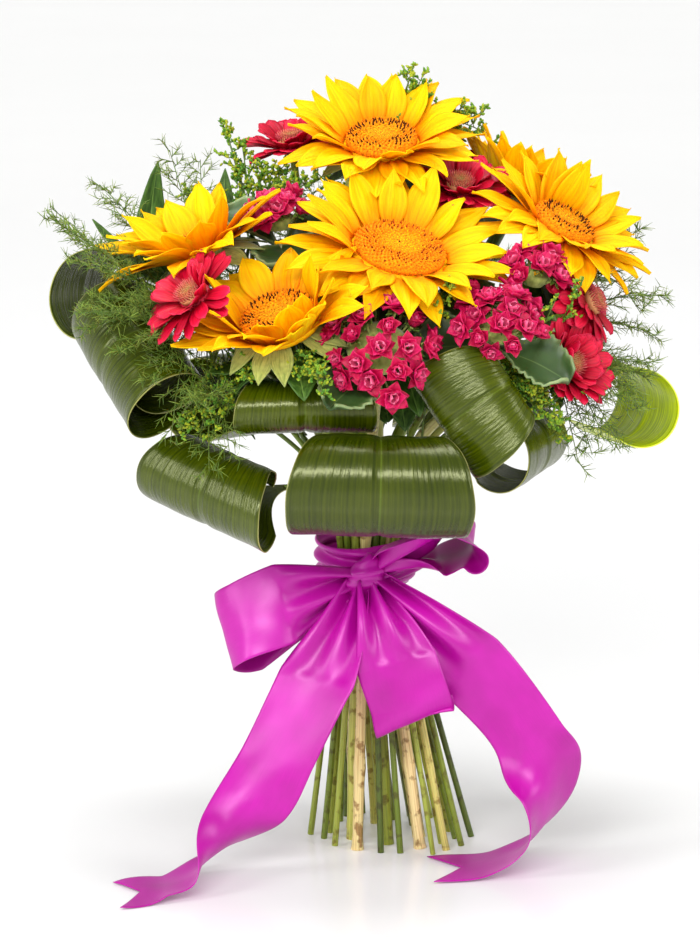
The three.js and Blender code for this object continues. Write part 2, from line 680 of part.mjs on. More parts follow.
function floretPart(plant) {
  const parts = [];
  plant.lobes.forEach((lobe, order) => {
    const centre = vector(lobe.at);
    const edge = FLORET_CORE * lobe.dome;
    const core = turned(headFrame(lobe.at, lobe.face), [
      [0, STEM_END + SEAT_GAP],
      [edge * Math.sin(lobe.spread), edge * Math.cos(lobe.spread)],
      [edge * Math.sin(lobe.spread / 2), edge * Math.cos(lobe.spread / 2)],
      [0, edge],
    ], 9, level);
    parts.push(core);
    for (let i = 0; i < lobe.count; i += 1) {
      const direction = floretSpot(lobe, i);
      const reach = lobe.dome * (0.94 + 0.12 * draw(order + 3, i));
      const radius = 6.2 + 0.8 * draw(order + 5, i);
      for (const [size, open] of [[1, 1], [1.1, 1], [0.92, 0.9], [1.2, 0.9], [0.84, 0.8], [0.75, 0.7]]) {
        const test = starredFloret(centre, direction, reach * size + CLEARANCE, radius * open + CLEARANCE);
        if (isClear(test)) {
          parts.push(starredFloret(centre, direction, reach * size, radius * open));
          break;
        }
      }
    }
  });
  return join(parts);
}

// A fleshy leaf with a scalloped, waved edge
function fleshyLeaf(frame, azimuth, length, width, lift, seed) {
  const radial = frame.u.clone().multiplyScalar(Math.cos(azimuth));
  radial.addScaledVector(frame.v, Math.sin(azimuth));
  const sideways = frame.n.clone().cross(radial);
  return sheet(2, 4, 1.6, (u, v) => {
    const half = width * (0.08 + 0.92 * Math.pow(Math.sin(Math.PI * 0.94 * Math.pow(v, 1.3)), 1.1));
    const wave = 2.4 * Math.abs(u) * v * Math.cos(v * 5 * Math.PI + seed);
    const slope = lift - 0.5 * v / 2;
    const point = frame.at.clone().addScaledVector(radial, 3 + length * v * Math.cos(slope));
    point.addScaledVector(frame.n, length * v * Math.sin(slope) + 3 * u * u + wave);
    return point.addScaledVector(sideways, u * half);
  });
}

function fleshyLeaves(plant, neck, seed) {
  const lobe = plant.lobes[0];
  const base = headFrame(lobe.at, lobe.face);
  base.at = inFrame(base, 0, 0, STEM_END);
  const upper = stemCurve(neck, base.at, base.n);
  const parts = [stemTube(neck, KALANCHOE_STEM, upper, 6, 5, KALANCHOE_STEM)];
  base.at = inFrame(base, 0, 0, -4);
  for (const sideLobe of plant.lobes.slice(1)) {
    const tip = headFrame(sideLobe.at, sideLobe.face);
    parts.push(twig(base.at, inFrame(tip, 0, 0, STEM_END), 1.6, 1.3, 0));
  }
  for (let i = 0; i < plant.leafCount; i += 1) {
    const azimuth = plant.leafTurn + (i / plant.leafCount) * 2 * Math.PI;
    const tier = i % 2 === 0 ? 0 : 0.22;
    for (const bend of [0.2, 0.05, 0.35, -0.15, 0.5, -0.35, 0.7]) {
      const lift = bend + tier;
      const length = 44 + 8 * draw(seed, i);
      const leaf = fleshyLeaf(base, azimuth, length, 19, lift, i);
      if (isClear(leaf)) {
        parts.push(leaf);
        break;
      }
    }
  }
  return join(parts);
}

// A tapered three-sided twig, sagging by its bow
function twig(from, to, startRadius, endRadius, bow) {
  const line = to.clone().sub(from);
  const side = line.clone().normalize().cross(Math.abs(line.z) > 0.9 * line.length()
    ? new THREE.Vector3(1, 0, 0) : UP).normalize();
  const other = side.clone().cross(line.clone().normalize());
  return bent(3, bow === 0 ? 1 : 2, endRadius === 0, (along, across, up) => {
    const radius = startRadius + (endRadius - startRadius) * along;
    const point = from.clone().addScaledVector(line, along);
    point.addScaledVector(UP, bow * 4 * along * (1 - along));
    return point.addScaledVector(side, across * radius).addScaledVector(other, up * radius);
  });
}

// Goldenrod: one stem that forks into twigs set with small buds
function bud(from, to, width) {
  const line = to.clone().sub(from);
  const geometry = new THREE.OctahedronGeometry(1);
  geometry.scale(width, width, line.length() / 2);
  geometry.applyQuaternion(new THREE.Quaternion().setFromUnitVectors(UP, line.normalize()));
  const middle = from.clone().add(to).multiplyScalar(0.5);
  geometry.translate(middle.x, middle.y, middle.z);
  return solid(geometry);
}

function goldenrodPart(spray, neck, seed) {
  const fork = vector(spray.fork);
  const upper = stemCurve(neck, fork, UP);
  const parts = [stemTube(neck, FILLER_STEM, upper, 5, 5, 1.4)];
  spray.tips.forEach((list, order) => {
    const tip = vector(list);
    const from = upper.getPoint(1 - FORK_SPREAD * order);
    const branch = twig(from, tip, 1.2, 0.6, TWIG_BOW);
    if (!isClear(branch)) return;
    parts.push(branch);
    for (let i = 0; i < BUDS_PER_TWIG; i += 1) {
      const t = 0.5 + 0.5 * (i / (BUDS_PER_TWIG - 1));
      const on = from.clone().lerp(tip, t).addScaledVector(UP, TWIG_BOW * 4 * t * (1 - t));
      const key = seed + order * 11;
      const off = new THREE.Vector3(spreadDraw(key, i), spreadDraw(key, i + 20), spreadDraw(key, i + 40));
      off.normalize();
      const end = on.clone().addScaledVector(off, 8 + 4 * draw(key, i + 60));
      const flowerBud = bud(on.clone().addScaledVector(off, -1), end, 2);
      if (isClear(flowerBud)) parts.push(flowerBud);
    }
  });
  return join(parts);
}

// Fern: feathered branches, each a slim core set with needles on both sides
function fernPart(spray, neck) {
  const fork = vector(spray.fork);
  const upper = stemCurve(neck, fork, UP);
  const parts = [stemTube(neck, FILLER_STEM, upper, 5, 5, 1.3)];
  spray.tips.forEach((list, order) => {
    const tip = vector(list);
    const from = upper.getPoint(1 - FORK_SPREAD * order);
    const branch = twig(from, tip, 1.1, 0.5, TWIG_BOW);
    if (!isClear(branch)) return;
    parts.push(branch);
    const along = tip.clone().sub(from).normalize();
    const side = along.clone().cross(UP).normalize();
    for (let i = 0; i < NEEDLES_PER_BRANCH; i += 1) {
      const t = 0.34 + 0.62 * (i / (NEEDLES_PER_BRANCH - 1));
      const on = from.clone().lerp(tip, t).addScaledVector(UP, TWIG_BOW * 4 * t * (1 - t));
      const hand = i % 2 === 0 ? 1 : -1;
      const length = 17 * (1.05 - 0.75 * t);
      const end = on.clone().addScaledVector(along, length * 0.7).addScaledVector(side, hand * length);
      end.z += 4 * spreadDraw(order + 2, i);
      const needle = twig(on, end, 0.9, 0, 0);
      if (isClear(needle)) parts.push(needle);
    }
  });
  return join(parts);
}

// Aspidistra leaf on its stalk, folded back in a roll and tucked in
function leafRoll(leaf, neck) {
  const centre = vector(leaf.at);
  const axis = vector(leaf.axis).normalize();
  const want = vector(leaf.out);
  const out = want.addScaledVector(axis, -want.dot(axis)).normalize();
  const up = out.z * axis.x - out.x * axis.z > 0 ? axis.clone().cross(out) : out.clone().cross(axis);
  if (up.z < 0) up.negate();
  const startAngle = -2.2;
  const tuckAngle = 2.2;
  const onRoll = (angle) => {
    const shrink = 1 - 0.13 * Math.max(0, angle - tuckAngle);
    return centre.clone().addScaledVector(out, leaf.radii[0] * shrink * Math.cos(angle))
      .addScaledVector(up, leaf.radii[1] * shrink * Math.sin(angle));
  };
  const first = onRoll(startAngle);
  const heading = onRoll(startAngle + 0.01).sub(first).normalize();
  const start = bundlePoint(neck, NECK_HEIGHT + SPREAD_TOP);
  const ahead = bundlePoint(neck, NECK_HEIGHT + SPREAD_TOP + 1).sub(start).normalize();
  const span = start.distanceTo(first);
  const pullOut = 0.35;
  const pullIn = 0.4;
  const leadIn = new THREE.CubicBezierCurve3(
    start,
    start.clone().addScaledVector(ahead, span * pullOut),
    first.clone().addScaledVector(heading, -span * pullIn),
    first,
  );
  const stalkEnd = 0.62;
  const bladeStart = stalkEnd - 0.06;
  const stalkTip = 1.2;
  const stalkCurve = {
    getPoint: (t) => leadIn.getPoint(t * stalkEnd),
    getTangent: (t) => leadIn.getTangent(t * stalkEnd),
  };
  const stalk = stemTube(neck, LEAF_STALK + STALK_EDGE, stalkCurve, 4, 3, stalkTip);
  const leadShare = 0.2;
  const footWidth = 0.06;
  const shoulderWidth = 0.72;
  const tipNarrowing = 0.35;
  const leafBlade = sheet(1, 13, LEAF_THICKNESS, (u, v) => {
    const inLead = v < leadShare;
    const t = inLead ? v / leadShare : (v - leadShare) / (1 - leadShare);
    const onLead = bladeStart + (1 - bladeStart) * t;
    const spine = inLead ? leadIn.getPoint(onLead) : onRoll(startAngle + leaf.turn * t);
    const bulge = Math.sin(Math.PI * Math.min(1, t * 1.25));
    const onFoot = footWidth + (shoulderWidth - footWidth) * t * t;
    const widen = inLead ? onFoot : shoulderWidth + (1 - shoulderWidth) * bulge;
    const narrow = inLead ? 1 : 1 - tipNarrowing * Math.pow(t, 4);
    return spine.addScaledVector(axis, u * leaf.half * widen * narrow);
  });
  return join([stalk, leafBlade]);
}

// The tie: a few turns of twine round the neck, as one ribbed ring
function twineRing(radius) {
  const profile = [];
  const turns = 3;
  const low = -turns * TWINE_DIAMETER / 2;
  const inner = radius + TWINE_GAP;
  profile.push([inner, low]);
  for (let i = 0; i < turns; i += 1) {
    profile.push([inner + TWINE_DIAMETER, low + (i + 0.5) * TWINE_DIAMETER]);
    profile.push([inner + TWINE_DIAMETER * 0.6, low + (i + 1) * TWINE_DIAMETER]);
  }
  profile.push([inner, -low]);
  profile.push([inner, low]);
  return turned(headFrame([0, 0, NECK_HEIGHT], [0, 0, 1]), profile, 16, level);
}

// Ribbon: a wrap round the neck, a knot, three loops and two swallow-tailed ends
function ribbonStrip(strip, columns, rows, gathered, tailed) {
  const path = new THREE.CatmullRomCurve3(strip.path.map(vector), false, 'centripetal');
  const acrossCurve = new THREE.CatmullRomCurve3(strip.across.map(vector), false, 'centripetal');
  return sheet(columns, rows, RIBBON_THICKNESS, (u, v) => {
    const point = path.getPoint(v);
    const across = acrossCurve.getPoint(v).normalize();
    const openStart = Math.min(1, 0.3 + 2.8 * v);
    const openEnd = gathered ? Math.min(1, 0.3 + 2.8 * (1 - v)) : 1;
    const half = RIBBON_WIDTH / 2 * Math.min(openStart, openEnd);
    if (tailed && v > 0.999 && Math.abs(u) < 0.5) {
      point.copy(path.getPoint(0.93));
    }
    return point.addScaledVector(across, u * half);
  });
}

function ribbonBow(radius) {
  const inner = radius + TWINE_GAP + TWINE_DIAMETER + 0.7;
  const outer = inner + 2.2;
  const wrap = turned(headFrame([0, 0, NECK_HEIGHT], [0, 0, 1]), [
    [inner, -13], [outer + 1, -13], [outer, 0], [outer + 1, 13], [inner, 13], [inner, -13],
  ], 14, level);
  const knot = turned(headFrame([0, -outer - 3, NECK_HEIGHT - 2], [0.15, -1, 0.1]), [
    [0, -5], [12, 0], [8, 5], [0, 7],
  ], 8, level);
  const strips = [
    ribbonStrip(LEFT_TAIL, 2, 10, false, true),
    ribbonStrip(RIGHT_TAIL, 2, 11, false, true),
    ribbonStrip(LEFT_LOOP, 1, 10, true, false),
    ribbonStrip(RIGHT_LOOP, 1, 10, true, false),
    ribbonStrip(HANGING_LOOP, 1, 9, true, false),
  ];
  return join([wrap, knot, ...strips]);
}

// Put the bouquet together from the neck outwards

const sunflowers = SUNFLOWERS.map((flower) => composite(flower, SUNFLOWER_KIND));
const gerberas = GERBERAS.map((flower) => composite(flower, GERBERA_KIND));

const stemList = [
  ...sunflowers.map((flower) => ({ neck: flower.neck, radius: SUNFLOWER_STEM })),
  ...KALANCHOES.map((plant) => ({ neck: plant.neck, radius: KALANCHOE_STEM })),
  ...gerberas.map((flower) => ({ neck: flower.neck, radius: GERBERA_STEM })),
  ...GOLDENRODS.map((spray) => ({ neck: spray.neck, radius: FILLER_STEM })),
  ...FERNS.map((spray) => ({ neck: spray.neck, radius: FILLER_STEM })),
  ...LEAF_ROLLS.map((leaf) => ({ neck: leaf.neck, radius: LEAF_STALK })),
];
const spots = packNeck(stemList).map((spot) => new THREE.Vector3(spot.x, spot.y, 0));
const bundleRadius = Math.max(...spots.map((spot, i) => spot.length() + stemList[i].radius));
const nextSpot = () => spots.shift();

const sunflowerSpots = sunflowers.map(nextSpot);
const kalanchoeSpots = KALANCHOES.map(nextSpot);
const gerberaSpots = gerberas.map(nextSpot);
const goldenrodSpots = GOLDENRODS.map(nextSpot);
const fernSpots = FERNS.map(nextSpot);
const leafSpots = LEAF_ROLLS.map(nextSpot);

addNode('binding_twine', twineRing(bundleRadius), COLOURS.twine, 0.9);
addNode('ribbon_bow', ribbonBow(bundleRadius), COLOURS.ribbon, 0.35);
LEAF_ROLLS.forEach((leaf, i) => {
  addNode(leaf.name, leafRoll(leaf, leafSpots[i]), COLOURS.leafGreen, 0.35);
});
[...sunflowers, ...gerberas].forEach((flower) => {
  addNode(`${flower.name}_disc`, discPart(flower), flower.discColour, 0.85);
});
[...gerberas, ...sunflowers].forEach((flower, i) => {
  const spot = [...gerberaSpots, ...sunflowerSpots][i];
  const parts = greenPart(flower, spot);
  addNode(`${flower.name}_stem`, join([...parts, ...sepals(flower, i + 1)]), COLOURS.stemGreen, 0.7);
});
KALANCHOES.forEach((plant, i) => {
  addNode(`${plant.name}_leaves`, fleshyLeaves(plant, kalanchoeSpots[i], i + 1), COLOURS.succulent, 0.7);
});
KALANCHOES.forEach((plant) => {
  addNode(`${plant.name}_florets`, floretPart(plant), COLOURS.pink, 0.6);
});
[...sunflowers, ...gerberas].forEach((flower, i) => {
  addNode(`${flower.name}_petals`, petalPart(flower, i + 1), flower.petalColour, 0.6);
});
GOLDENRODS.forEach((spray, i) => {
  addNode(spray.name, goldenrodPart(spray, goldenrodSpots[i], i + 1), COLOURS.goldenrod, 0.8);
});
FERNS.forEach((spray, i) => {
  addNode(spray.name, fernPart(spray, fernSpots[i]), COLOURS.fern, 0.8);
});

// The origin is on the floor, under the middle of the bouquet
const reach = new THREE.Box3().setFromObject(bouquet);
bouquet.position.set(-(reach.min.x + reach.max.x) / 2, -(reach.min.y + reach.max.y) / 2, -reach.min.z);

export default bouquet;
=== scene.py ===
import itertools
import math

import bmesh
import bpy
from mathutils import Matrix, Vector
from mathutils.bvhtree import BVHTree


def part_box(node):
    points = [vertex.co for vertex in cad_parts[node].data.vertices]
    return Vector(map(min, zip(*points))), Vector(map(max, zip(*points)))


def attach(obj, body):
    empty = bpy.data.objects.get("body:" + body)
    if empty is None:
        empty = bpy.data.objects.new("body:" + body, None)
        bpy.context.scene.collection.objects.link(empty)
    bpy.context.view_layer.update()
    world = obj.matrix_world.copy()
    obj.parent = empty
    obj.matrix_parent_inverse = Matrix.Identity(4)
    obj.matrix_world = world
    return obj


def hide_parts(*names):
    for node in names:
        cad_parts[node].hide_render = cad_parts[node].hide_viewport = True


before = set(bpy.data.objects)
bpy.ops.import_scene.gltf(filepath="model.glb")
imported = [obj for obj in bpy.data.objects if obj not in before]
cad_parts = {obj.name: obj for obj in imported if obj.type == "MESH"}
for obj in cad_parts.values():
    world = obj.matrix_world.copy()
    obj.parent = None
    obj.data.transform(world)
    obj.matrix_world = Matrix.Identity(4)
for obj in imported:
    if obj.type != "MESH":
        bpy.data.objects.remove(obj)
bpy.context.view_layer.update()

# Camera: it stands well back with a long lens, a little above the middle of the bouquet.
# Places are written in millimetres from the foot of the bundle's own axis, which tie_shift
# carries into the frame of the solids.
MILLIMETRE = 0.001
TIE_HEIGHT = 178.0
LOOK_AT = Vector((-9.3, 0.0, 236.0))
CAMERA_DISTANCE = 2480.0
CAMERA_TILT = math.radians(13)
FOCAL_PIXELS = 4000
PICTURE_HEIGHT = 937
SENSOR_HEIGHT = 36

tie_low, tie_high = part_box("binding_twine")
tie_shift = (tie_low + tie_high) / 2 - Vector((0, 0, TIE_HEIGHT * MILLIMETRE))
back_off = Vector((0, -math.cos(CAMERA_TILT), math.sin(CAMERA_TILT))) * CAMERA_DISTANCE
camera_data = bpy.data.cameras.new("photo_camera")
camera_data.sensor_width = SENSOR_HEIGHT
camera_data.lens = SENSOR_HEIGHT * FOCAL_PIXELS / PICTURE_HEIGHT
camera = bpy.data.objects.new("photo_camera", camera_data)
camera.location = (LOOK_AT + back_off) * MILLIMETRE + tie_shift
camera.rotation_euler = (math.pi / 2 - CAMERA_TILT, 0, 0)
bpy.context.scene.collection.objects.link(camera)
bpy.context.scene.camera = camera

# Studio: a white glossy floor that curves up into a low wall all round, under large soft lamps.
# A long lamp over the camera puts a band of gloss on the rolled leaves, and two light the sides.
# Colours are shown as they are, with no film curve over them.
LAMPS_AIM = Vector((0, 0, 0.25))
ROOM_LIGHT = 0.4
FLOOR_REACH = 9.0
FLOOR_SIDES = 96
COVE_BEND = 2.0
COVE_STEPS = 6
WALL_HEIGHT = 2.6

world = bpy.data.worlds.new("white_room")
world.use_nodes = True
world.node_tree.nodes["Background"].inputs["Color"].default_value = (1, 1, 1, 1)
world.node_tree.nodes["Background"].inputs["Strength"].default_value = ROOM_LIGHT
bpy.context.scene.world = world
bpy.context.scene.view_settings.view_transform = "Standard"


def soft_lamp(name, place, width, height, power):
    lamp = bpy.data.lights.new(name, "AREA")
    lamp.shape = "RECTANGLE"
    lamp.size = width
    lamp.size_y = height
    lamp.energy = power
    stand = bpy.data.objects.new(name, lamp)
    stand.location = place
    stand.rotation_euler = (LAMPS_AIM - Vector(place)).to_track_quat("-Z", "Y").to_euler()
    bpy.context.scene.collection.objects.link(stand)


soft_lamp("front_softbox", (-0.35, -1.75, 1.35), width=1.7, height=0.32, power=34)
soft_lamp("left_softbox", (-1.6, -0.7, 0.9), width=0.5, height=1.1, power=14)
soft_lamp("right_softbox", (1.6, -0.7, 1.0), width=0.5, height=1.1, power=12)
soft_lamp("top_softbox", (0.0, 0.2, 1.9), width=0.9, height=0.9, power=20)


# A node of a material's tree, whose inputs are values or the sockets that feed them
def node(tree, kind, inputs=None, **settings):
    made = tree.nodes.new(kind)
    for key, value in settings.items():
        setattr(made, key, value)
    for key, value in (inputs or {}).items():
        if isinstance(value, bpy.types.NodeSocket):
            tree.links.new(value, made.inputs[key])
        else:
            made.inputs[key].default_value = value
    return made


# A material with its values on the shader's own sockets, and the tree for its colour and relief
def begin_finish(name, roughness, **values):
    finish = bpy.data.materials.new(name)
    finish.use_nodes = True
    shader = finish.node_tree.nodes["Principled BSDF"]
    shader.inputs["Roughness"].default_value = roughness
    for key, value in values.items():
        shader.inputs[key.replace("_", " ")].default_value = value
    return finish, finish.node_tree, shader


# Colours along a ramp, each with its place on it from 0 to 1
def ramp(tree, factor, stops):
    made = node(tree, "ShaderNodeValToRGB", {"Fac": factor})
    elements = made.color_ramp.elements
    while len(elements) < len(stops):
        elements.new(0.5)
    for element, (place, colour) in zip(elements, stops):
        element.position = place
        element.color = (*colour, 1)
    return made.outputs["Color"]


def blend_colours(tree, kind, amount, first, second):
    made = node(tree, "ShaderNodeMix", data_type="RGBA", blend_type=kind)
    for socket, value in ((made.inputs[0], amount), (made.inputs[6], first), (made.inputs[7], second)):
        if isinstance(value, bpy.types.NodeSocket):
            tree.links.new(value, socket)
        else:
            socket.default_value = value
    return made.outputs[2]


# Noise stretched along one way of the piece's own UV map, which gives grain, veins or ridges
def streaks(tree, across, along, detail=2.0):
    uv = node(tree, "ShaderNodeTexCoord").outputs["UV"]
    stretch = node(tree, "ShaderNodeMapping", {"Vector": uv, "Scale": (across, along, 1)})
    noise = node(tree, "ShaderNodeTexNoise", {"Vector": stretch.outputs["Vector"], "Scale": 1.0,
                                               "Detail": detail})
    return noise.outputs["Fac"]


def mottle(tree, scale, detail=3.0):
    place = node(tree, "ShaderNodeTexCoord").outputs["Object"]
    noise = node(tree, "ShaderNodeTexNoise", {"Vector": place, "Scale": scale, "Detail": detail})
    return noise.outputs["Fac"]


def tone_of(tree):
    return node(tree, "ShaderNodeAttribute", attribute_name="tone").outputs["Fac"]


def uv_part(tree, part):
    uv = node(tree, "ShaderNodeTexCoord").outputs["UV"]
    return node(tree, "ShaderNodeSeparateXYZ", {"Vector": uv}).outputs[part]


def paint(tree, shader, colour):
    tree.links.new(colour, shader.inputs["Base Color"])


def raise_relief(tree, shader, height, strength, depth):
    bump = node(tree, "ShaderNodeBump", {"Height": height, "Strength": strength, "Distance": depth})
    tree.links.new(bump.outputs["Normal"], shader.inputs["Normal"])


def as_mesh(name, shape):
    mesh = bpy.data.meshes.new(name)
    shape.to_mesh(mesh)
    shape.free()
    return mesh


# The floor glows more and more towards the wall, so that it fades into the white background
floor_finish, tree, shader = begin_finish("white_floor", 0.2, Emission_Strength=1.0)
paint(tree, shader, ramp(tree, mottle(tree, 3.0), [(0.3, (0.78, 0.78, 0.78)), (0.7, (0.8, 0.8, 0.8))]))
far = node(tree, "ShaderNodeVectorMath", {0: node(tree, "ShaderNodeTexCoord").outputs["Object"]},
           operation="LENGTH").outputs["Value"]
glow = node(tree, "ShaderNodeMapRange", {"Value": far, "From Min": 0.25, "From Max": 3.0,
                                         "To Min": 0.0, "To Max": 1.0}).outputs["Result"]
glow_tones = [(0.0, (0.1, 0.1, 0.1)), (0.35, (0.3, 0.3, 0.3)), (1.0, (0.41, 0.41, 0.405))]
tree.links.new(ramp(tree, glow, glow_tones), shader.inputs["Emission Color"])
cove = [(FLOOR_REACH + COVE_BEND * math.sin(turn), COVE_BEND * (1 - math.cos(turn)))
        for turn in (math.radians(90 / COVE_STEPS * step) for step in range(1, COVE_STEPS + 1))]
cove.append((FLOOR_REACH + COVE_BEND, WALL_HEIGHT))
floor_shape = bmesh.new()
bmesh.ops.create_circle(floor_shape, cap_ends=True, segments=FLOOR_SIDES, radius=FLOOR_REACH)
rim = list(floor_shape.edges)
for reach, height in cove:
    grown = bmesh.ops.extrude_edge_only(floor_shape, edges=rim)["geom"]
    ring = {part for part in grown if isinstance(part, bmesh.types.BMVert)}
    for vert in ring:
        along = Vector((vert.co.x, vert.co.y, 0)).normalized()
        vert.co = along * reach + Vector((0, 0, height))
    rim = [part for part in grown if isinstance(part, bmesh.types.BMEdge) and ring.issuperset(part.verts)]
floor_mesh = as_mesh("studio_floor", floor_shape)
floor_mesh.shade_smooth()
studio_floor = bpy.data.objects.new("studio_floor", floor_mesh)
floor_mesh.materials.append(floor_finish)
bpy.context.scene.collection.objects.link(studio_floor)


# Twine: two plies twisted together, wound in four turns round the neck of the bundle.
# It is natural fibre, pulled tight under the ribbon.
TWINE_PLY = 0.5
TWINE_TURNS = 4
TWINE_TWISTS = 14
TWINE_INSET = 0.95
TWINE_RISE = 4.2
twine_half = (tie_high.x - tie_low.x) / 2 * 1000


# A shape has a UV map, and a tone for each point, from which a material takes its shade
def new_shape():
    shape = bmesh.new()
    shape.loops.layers.uv.verify()
    shape.verts.layers.float.new("tone")
    return shape


# A grid whose points go to place(u, v): u runs from -1 to 1 across, and v from 0 to 1 along
def skin(shape, columns, rows, place, tone=0.5):
    made = bmesh.ops.create_grid(shape, x_segments=columns, y_segments=rows, size=1.0, calc_uvs=True)
    tones = shape.verts.layers.float["tone"]
    for vert in made["verts"]:
        vert.co = place(vert.co.x, (vert.co.y + 1) / 2)
        vert[tones] = tone
    return made["verts"]


# A grid that closes on itself, with its doubled points merged
def closed_skin(shape, columns, rows, place, tone=0.5, merge=1e-3):
    made = skin(shape, columns, rows, place, tone)
    bmesh.ops.remove_doubles(shape, verts=made, dist=merge)


# A round closed tube: centre(t) gives the point and the way it runs, radius(t) its thickness
def tube(shape, sides, rows, centre, radius, tone=0.5):
    total = rows + 2

    def place(u, v):
        row = round(v * total)
        t = min(max((row - 1) / rows, 0), 1)
        point, heading = centre(t)
        if row in (0, total):
            return point
        turn = Vector((0, 0, 1)).rotation_difference(heading)
        spoke = Vector((math.cos(math.pi * u), math.sin(math.pi * u), 0))
        return point + (turn @ spoke) * radius(t)

    closed_skin(shape, sides, total, place, tone, merge=1e-4)


# Makes a shape one piece, in metres and in the frame of the solids, with its finish and what it replaces.
# Nothing reaches through the floor, on which the cut ends and the ribbon's tails lie.
def hand_over(name, shape, finish, stands_for=(), thickness=0.0, closed=True):
    for vert in shape.verts:
        vert.co.z = max(vert.co.z, thickness / 2)
    if closed:
        bmesh.ops.recalc_face_normals(shape, faces=shape.faces)
    shape.transform(Matrix.Translation(tie_shift) @ Matrix.Scale(MILLIMETRE, 4))
    mesh = as_mesh(name, shape)
    mesh.shade_smooth()
    mesh.materials.append(finish)
    piece = bpy.data.objects.new(name, mesh)
    bpy.context.scene.collection.objects.link(piece)
    if thickness:
        wall = piece.modifiers.new("wall", "SOLIDIFY")
        wall.thickness = thickness * MILLIMETRE
        wall.offset = 0
    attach(piece, "root")
    if stands_for:
        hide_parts(*stands_for)
    return piece


twine_finish, tree, shader = begin_finish("natural_twine", 0.9)
fibres = streaks(tree, 6, 160)
paint(tree, shader, ramp(tree, fibres, [(0.3, (0.3, 0.21, 0.11)), (0.7, (0.66, 0.52, 0.33))]))
raise_relief(tree, shader, fibres, 0.6, 0.0004)
twine_shape = new_shape()
for ply in range(2):
    def along_twine(t, ply=ply):
        turn = t * TWINE_TURNS * 2 * math.pi
        twist = turn * TWINE_TWISTS + ply * math.pi
        reach = twine_half - TWINE_INSET + TWINE_PLY * math.cos(twist)
        height = TIE_HEIGHT - TWINE_RISE / 2 + TWINE_RISE * t + TWINE_PLY * math.sin(twist)
        heading = Vector((-math.sin(turn), math.cos(turn), 0.01)).normalized()
        return Vector((reach * math.cos(turn), reach * math.sin(turn), height)), heading

    tube(twine_shape, sides=5, rows=620, centre=along_twine, radius=lambda t: TWINE_PLY * 1.05)
hand_over("twine_wrap", twine_shape, twine_finish, ["binding_twine"])


# Ribbon: a length of double-faced satin 50 mm wide, wound over the twine and tied in a bow.
# Two loops and a third that hangs are gathered under the knot, and the ends are cut in a V.
# Each strip is a path of points for its middle line, and the way across it at each of them.
RIBBON_WIDTH = 50.0
RIBBON_WALL = 0.45
SQUARED = 0.75
GATHERED = 0.3
OPENING_OUT = 2.8
NOTCH_DEPTH = 0.07
FLAT_HEIGHT = 12
LENGTH_STEPS = 80
LEFT_TAIL = {
    "path": [(-4, -36, 172), (-16, -56, 146), (-34, -72, 112), (-54, -84, 74), (-74, -94, 40),
             (-98, -104, 13), (-122, -114, 2.6), (-150, -126, 1.5)],
    "across": [(1, -0.1, 0.2), (1, -0.1, 0.3), (0.96, -0.2, 0.3), (0.94, -0.2, 0.35), (0.85, 0.2, 0.5),
               (0.6, 0.75, 0.42), (0.42, 0.9, 0.05), (0.4, 0.92, 0)],
}
RIGHT_TAIL = {
    "path": [(6, -36, 174), (36, -52, 150), (72, -62, 118), (100, -68, 82), (113, -70, 50),
             (104, -70, 20), (78, -72, 3.6), (40, -78, 1.5)],
    "across": [(0.5, 0, 0.86), (0.6, -0.1, 0.8), (0.66, -0.2, 0.72), (0.8, -0.35, 0.5), (0.72, 0.62, 0.3),
               (0.3, 0.94, 0.1), (0.16, 0.98, 0), (0.2, 0.98, 0)],
}
LEFT_LOOP = {
    "path": [(-6, -34, 174), (-30, -44, 168), (-56, -53, 161), (-77, -53, 152), (-87, -41, 142),
             (-75, -29, 138), (-48, -27, 147), (-10, -33, 167)],
    "across": [(0.1, -0.3, 0.95), (0.05, 0.1, 1), (-0.1, 0.35, 0.93), (-0.2, 0.5, 0.85), (-0.2, 0.55, 0.82),
               (-0.15, 0.5, 0.85), (-0.05, 0.4, 0.9), (0.1, 0.2, 0.97)],
}
RIGHT_LOOP = {
    "path": [(8, -34, 182), (26, -46, 196), (48, -48, 204), (64, -42, 202), (66, -34, 194),
             (50, -30, 186), (30, -32, 182), (8, -31, 176)],
    "across": [(-0.1, -0.5, 0.86), (-0.1, -0.85, 0.5), (0, -0.95, 0.3), (0.1, -1, 0), (0.1, -1, 0),
               (0, -0.97, -0.2), (0, -0.9, 0.4), (0, -0.5, 0.86)],
}
HANGING_LOOP = {
    "path": [(2, -38, 172), (12, -58, 152), (21, -68, 124), (28, -70, 103), (30, -66, 92),
             (30, -58, 98), (22, -54, 122), (8, -38, 160)],
    "across": [(1, 0, -0.2), (1, 0, -0.1), (0.96, 0, 0.22), (0.93, 0, 0.35), (0.93, 0, 0.35),
               (0.93, 0, 0.35), (1, 0, 0.1), (1, 0, 0)],
}


# A smooth curve through the points, which speeds up and slows down with their distances
def through(points, t):
    last = len(points) - 1
    span = min(int(t * last), last - 1)
    weight = t * last - span
    second, third = Vector(points[span]), Vector(points[span + 1])
    first = Vector(points[span - 1]) if span > 0 else second * 2 - third
    fourth = Vector(points[span + 2]) if span + 2 <= last else third * 2 - second
    before = max((second - first).length, 1e-4) ** 0.5
    here = max((third - second).length, 1e-4) ** 0.5
    after = max((fourth - third).length, 1e-4) ** 0.5
    leave = (second - first) / before - (third - first) / (before + here) + (third - second) / here
    arrive = (third - second) / here - (fourth - second) / (here + after) + (fourth - third) / after
    leave *= here
    arrive *= here
    bend = (second - third) * -3 - leave * 2 - arrive
    turn = (second - third) * 2 + leave + arrive
    return second + leave * weight + bend * weight ** 2 + turn * weight ** 3


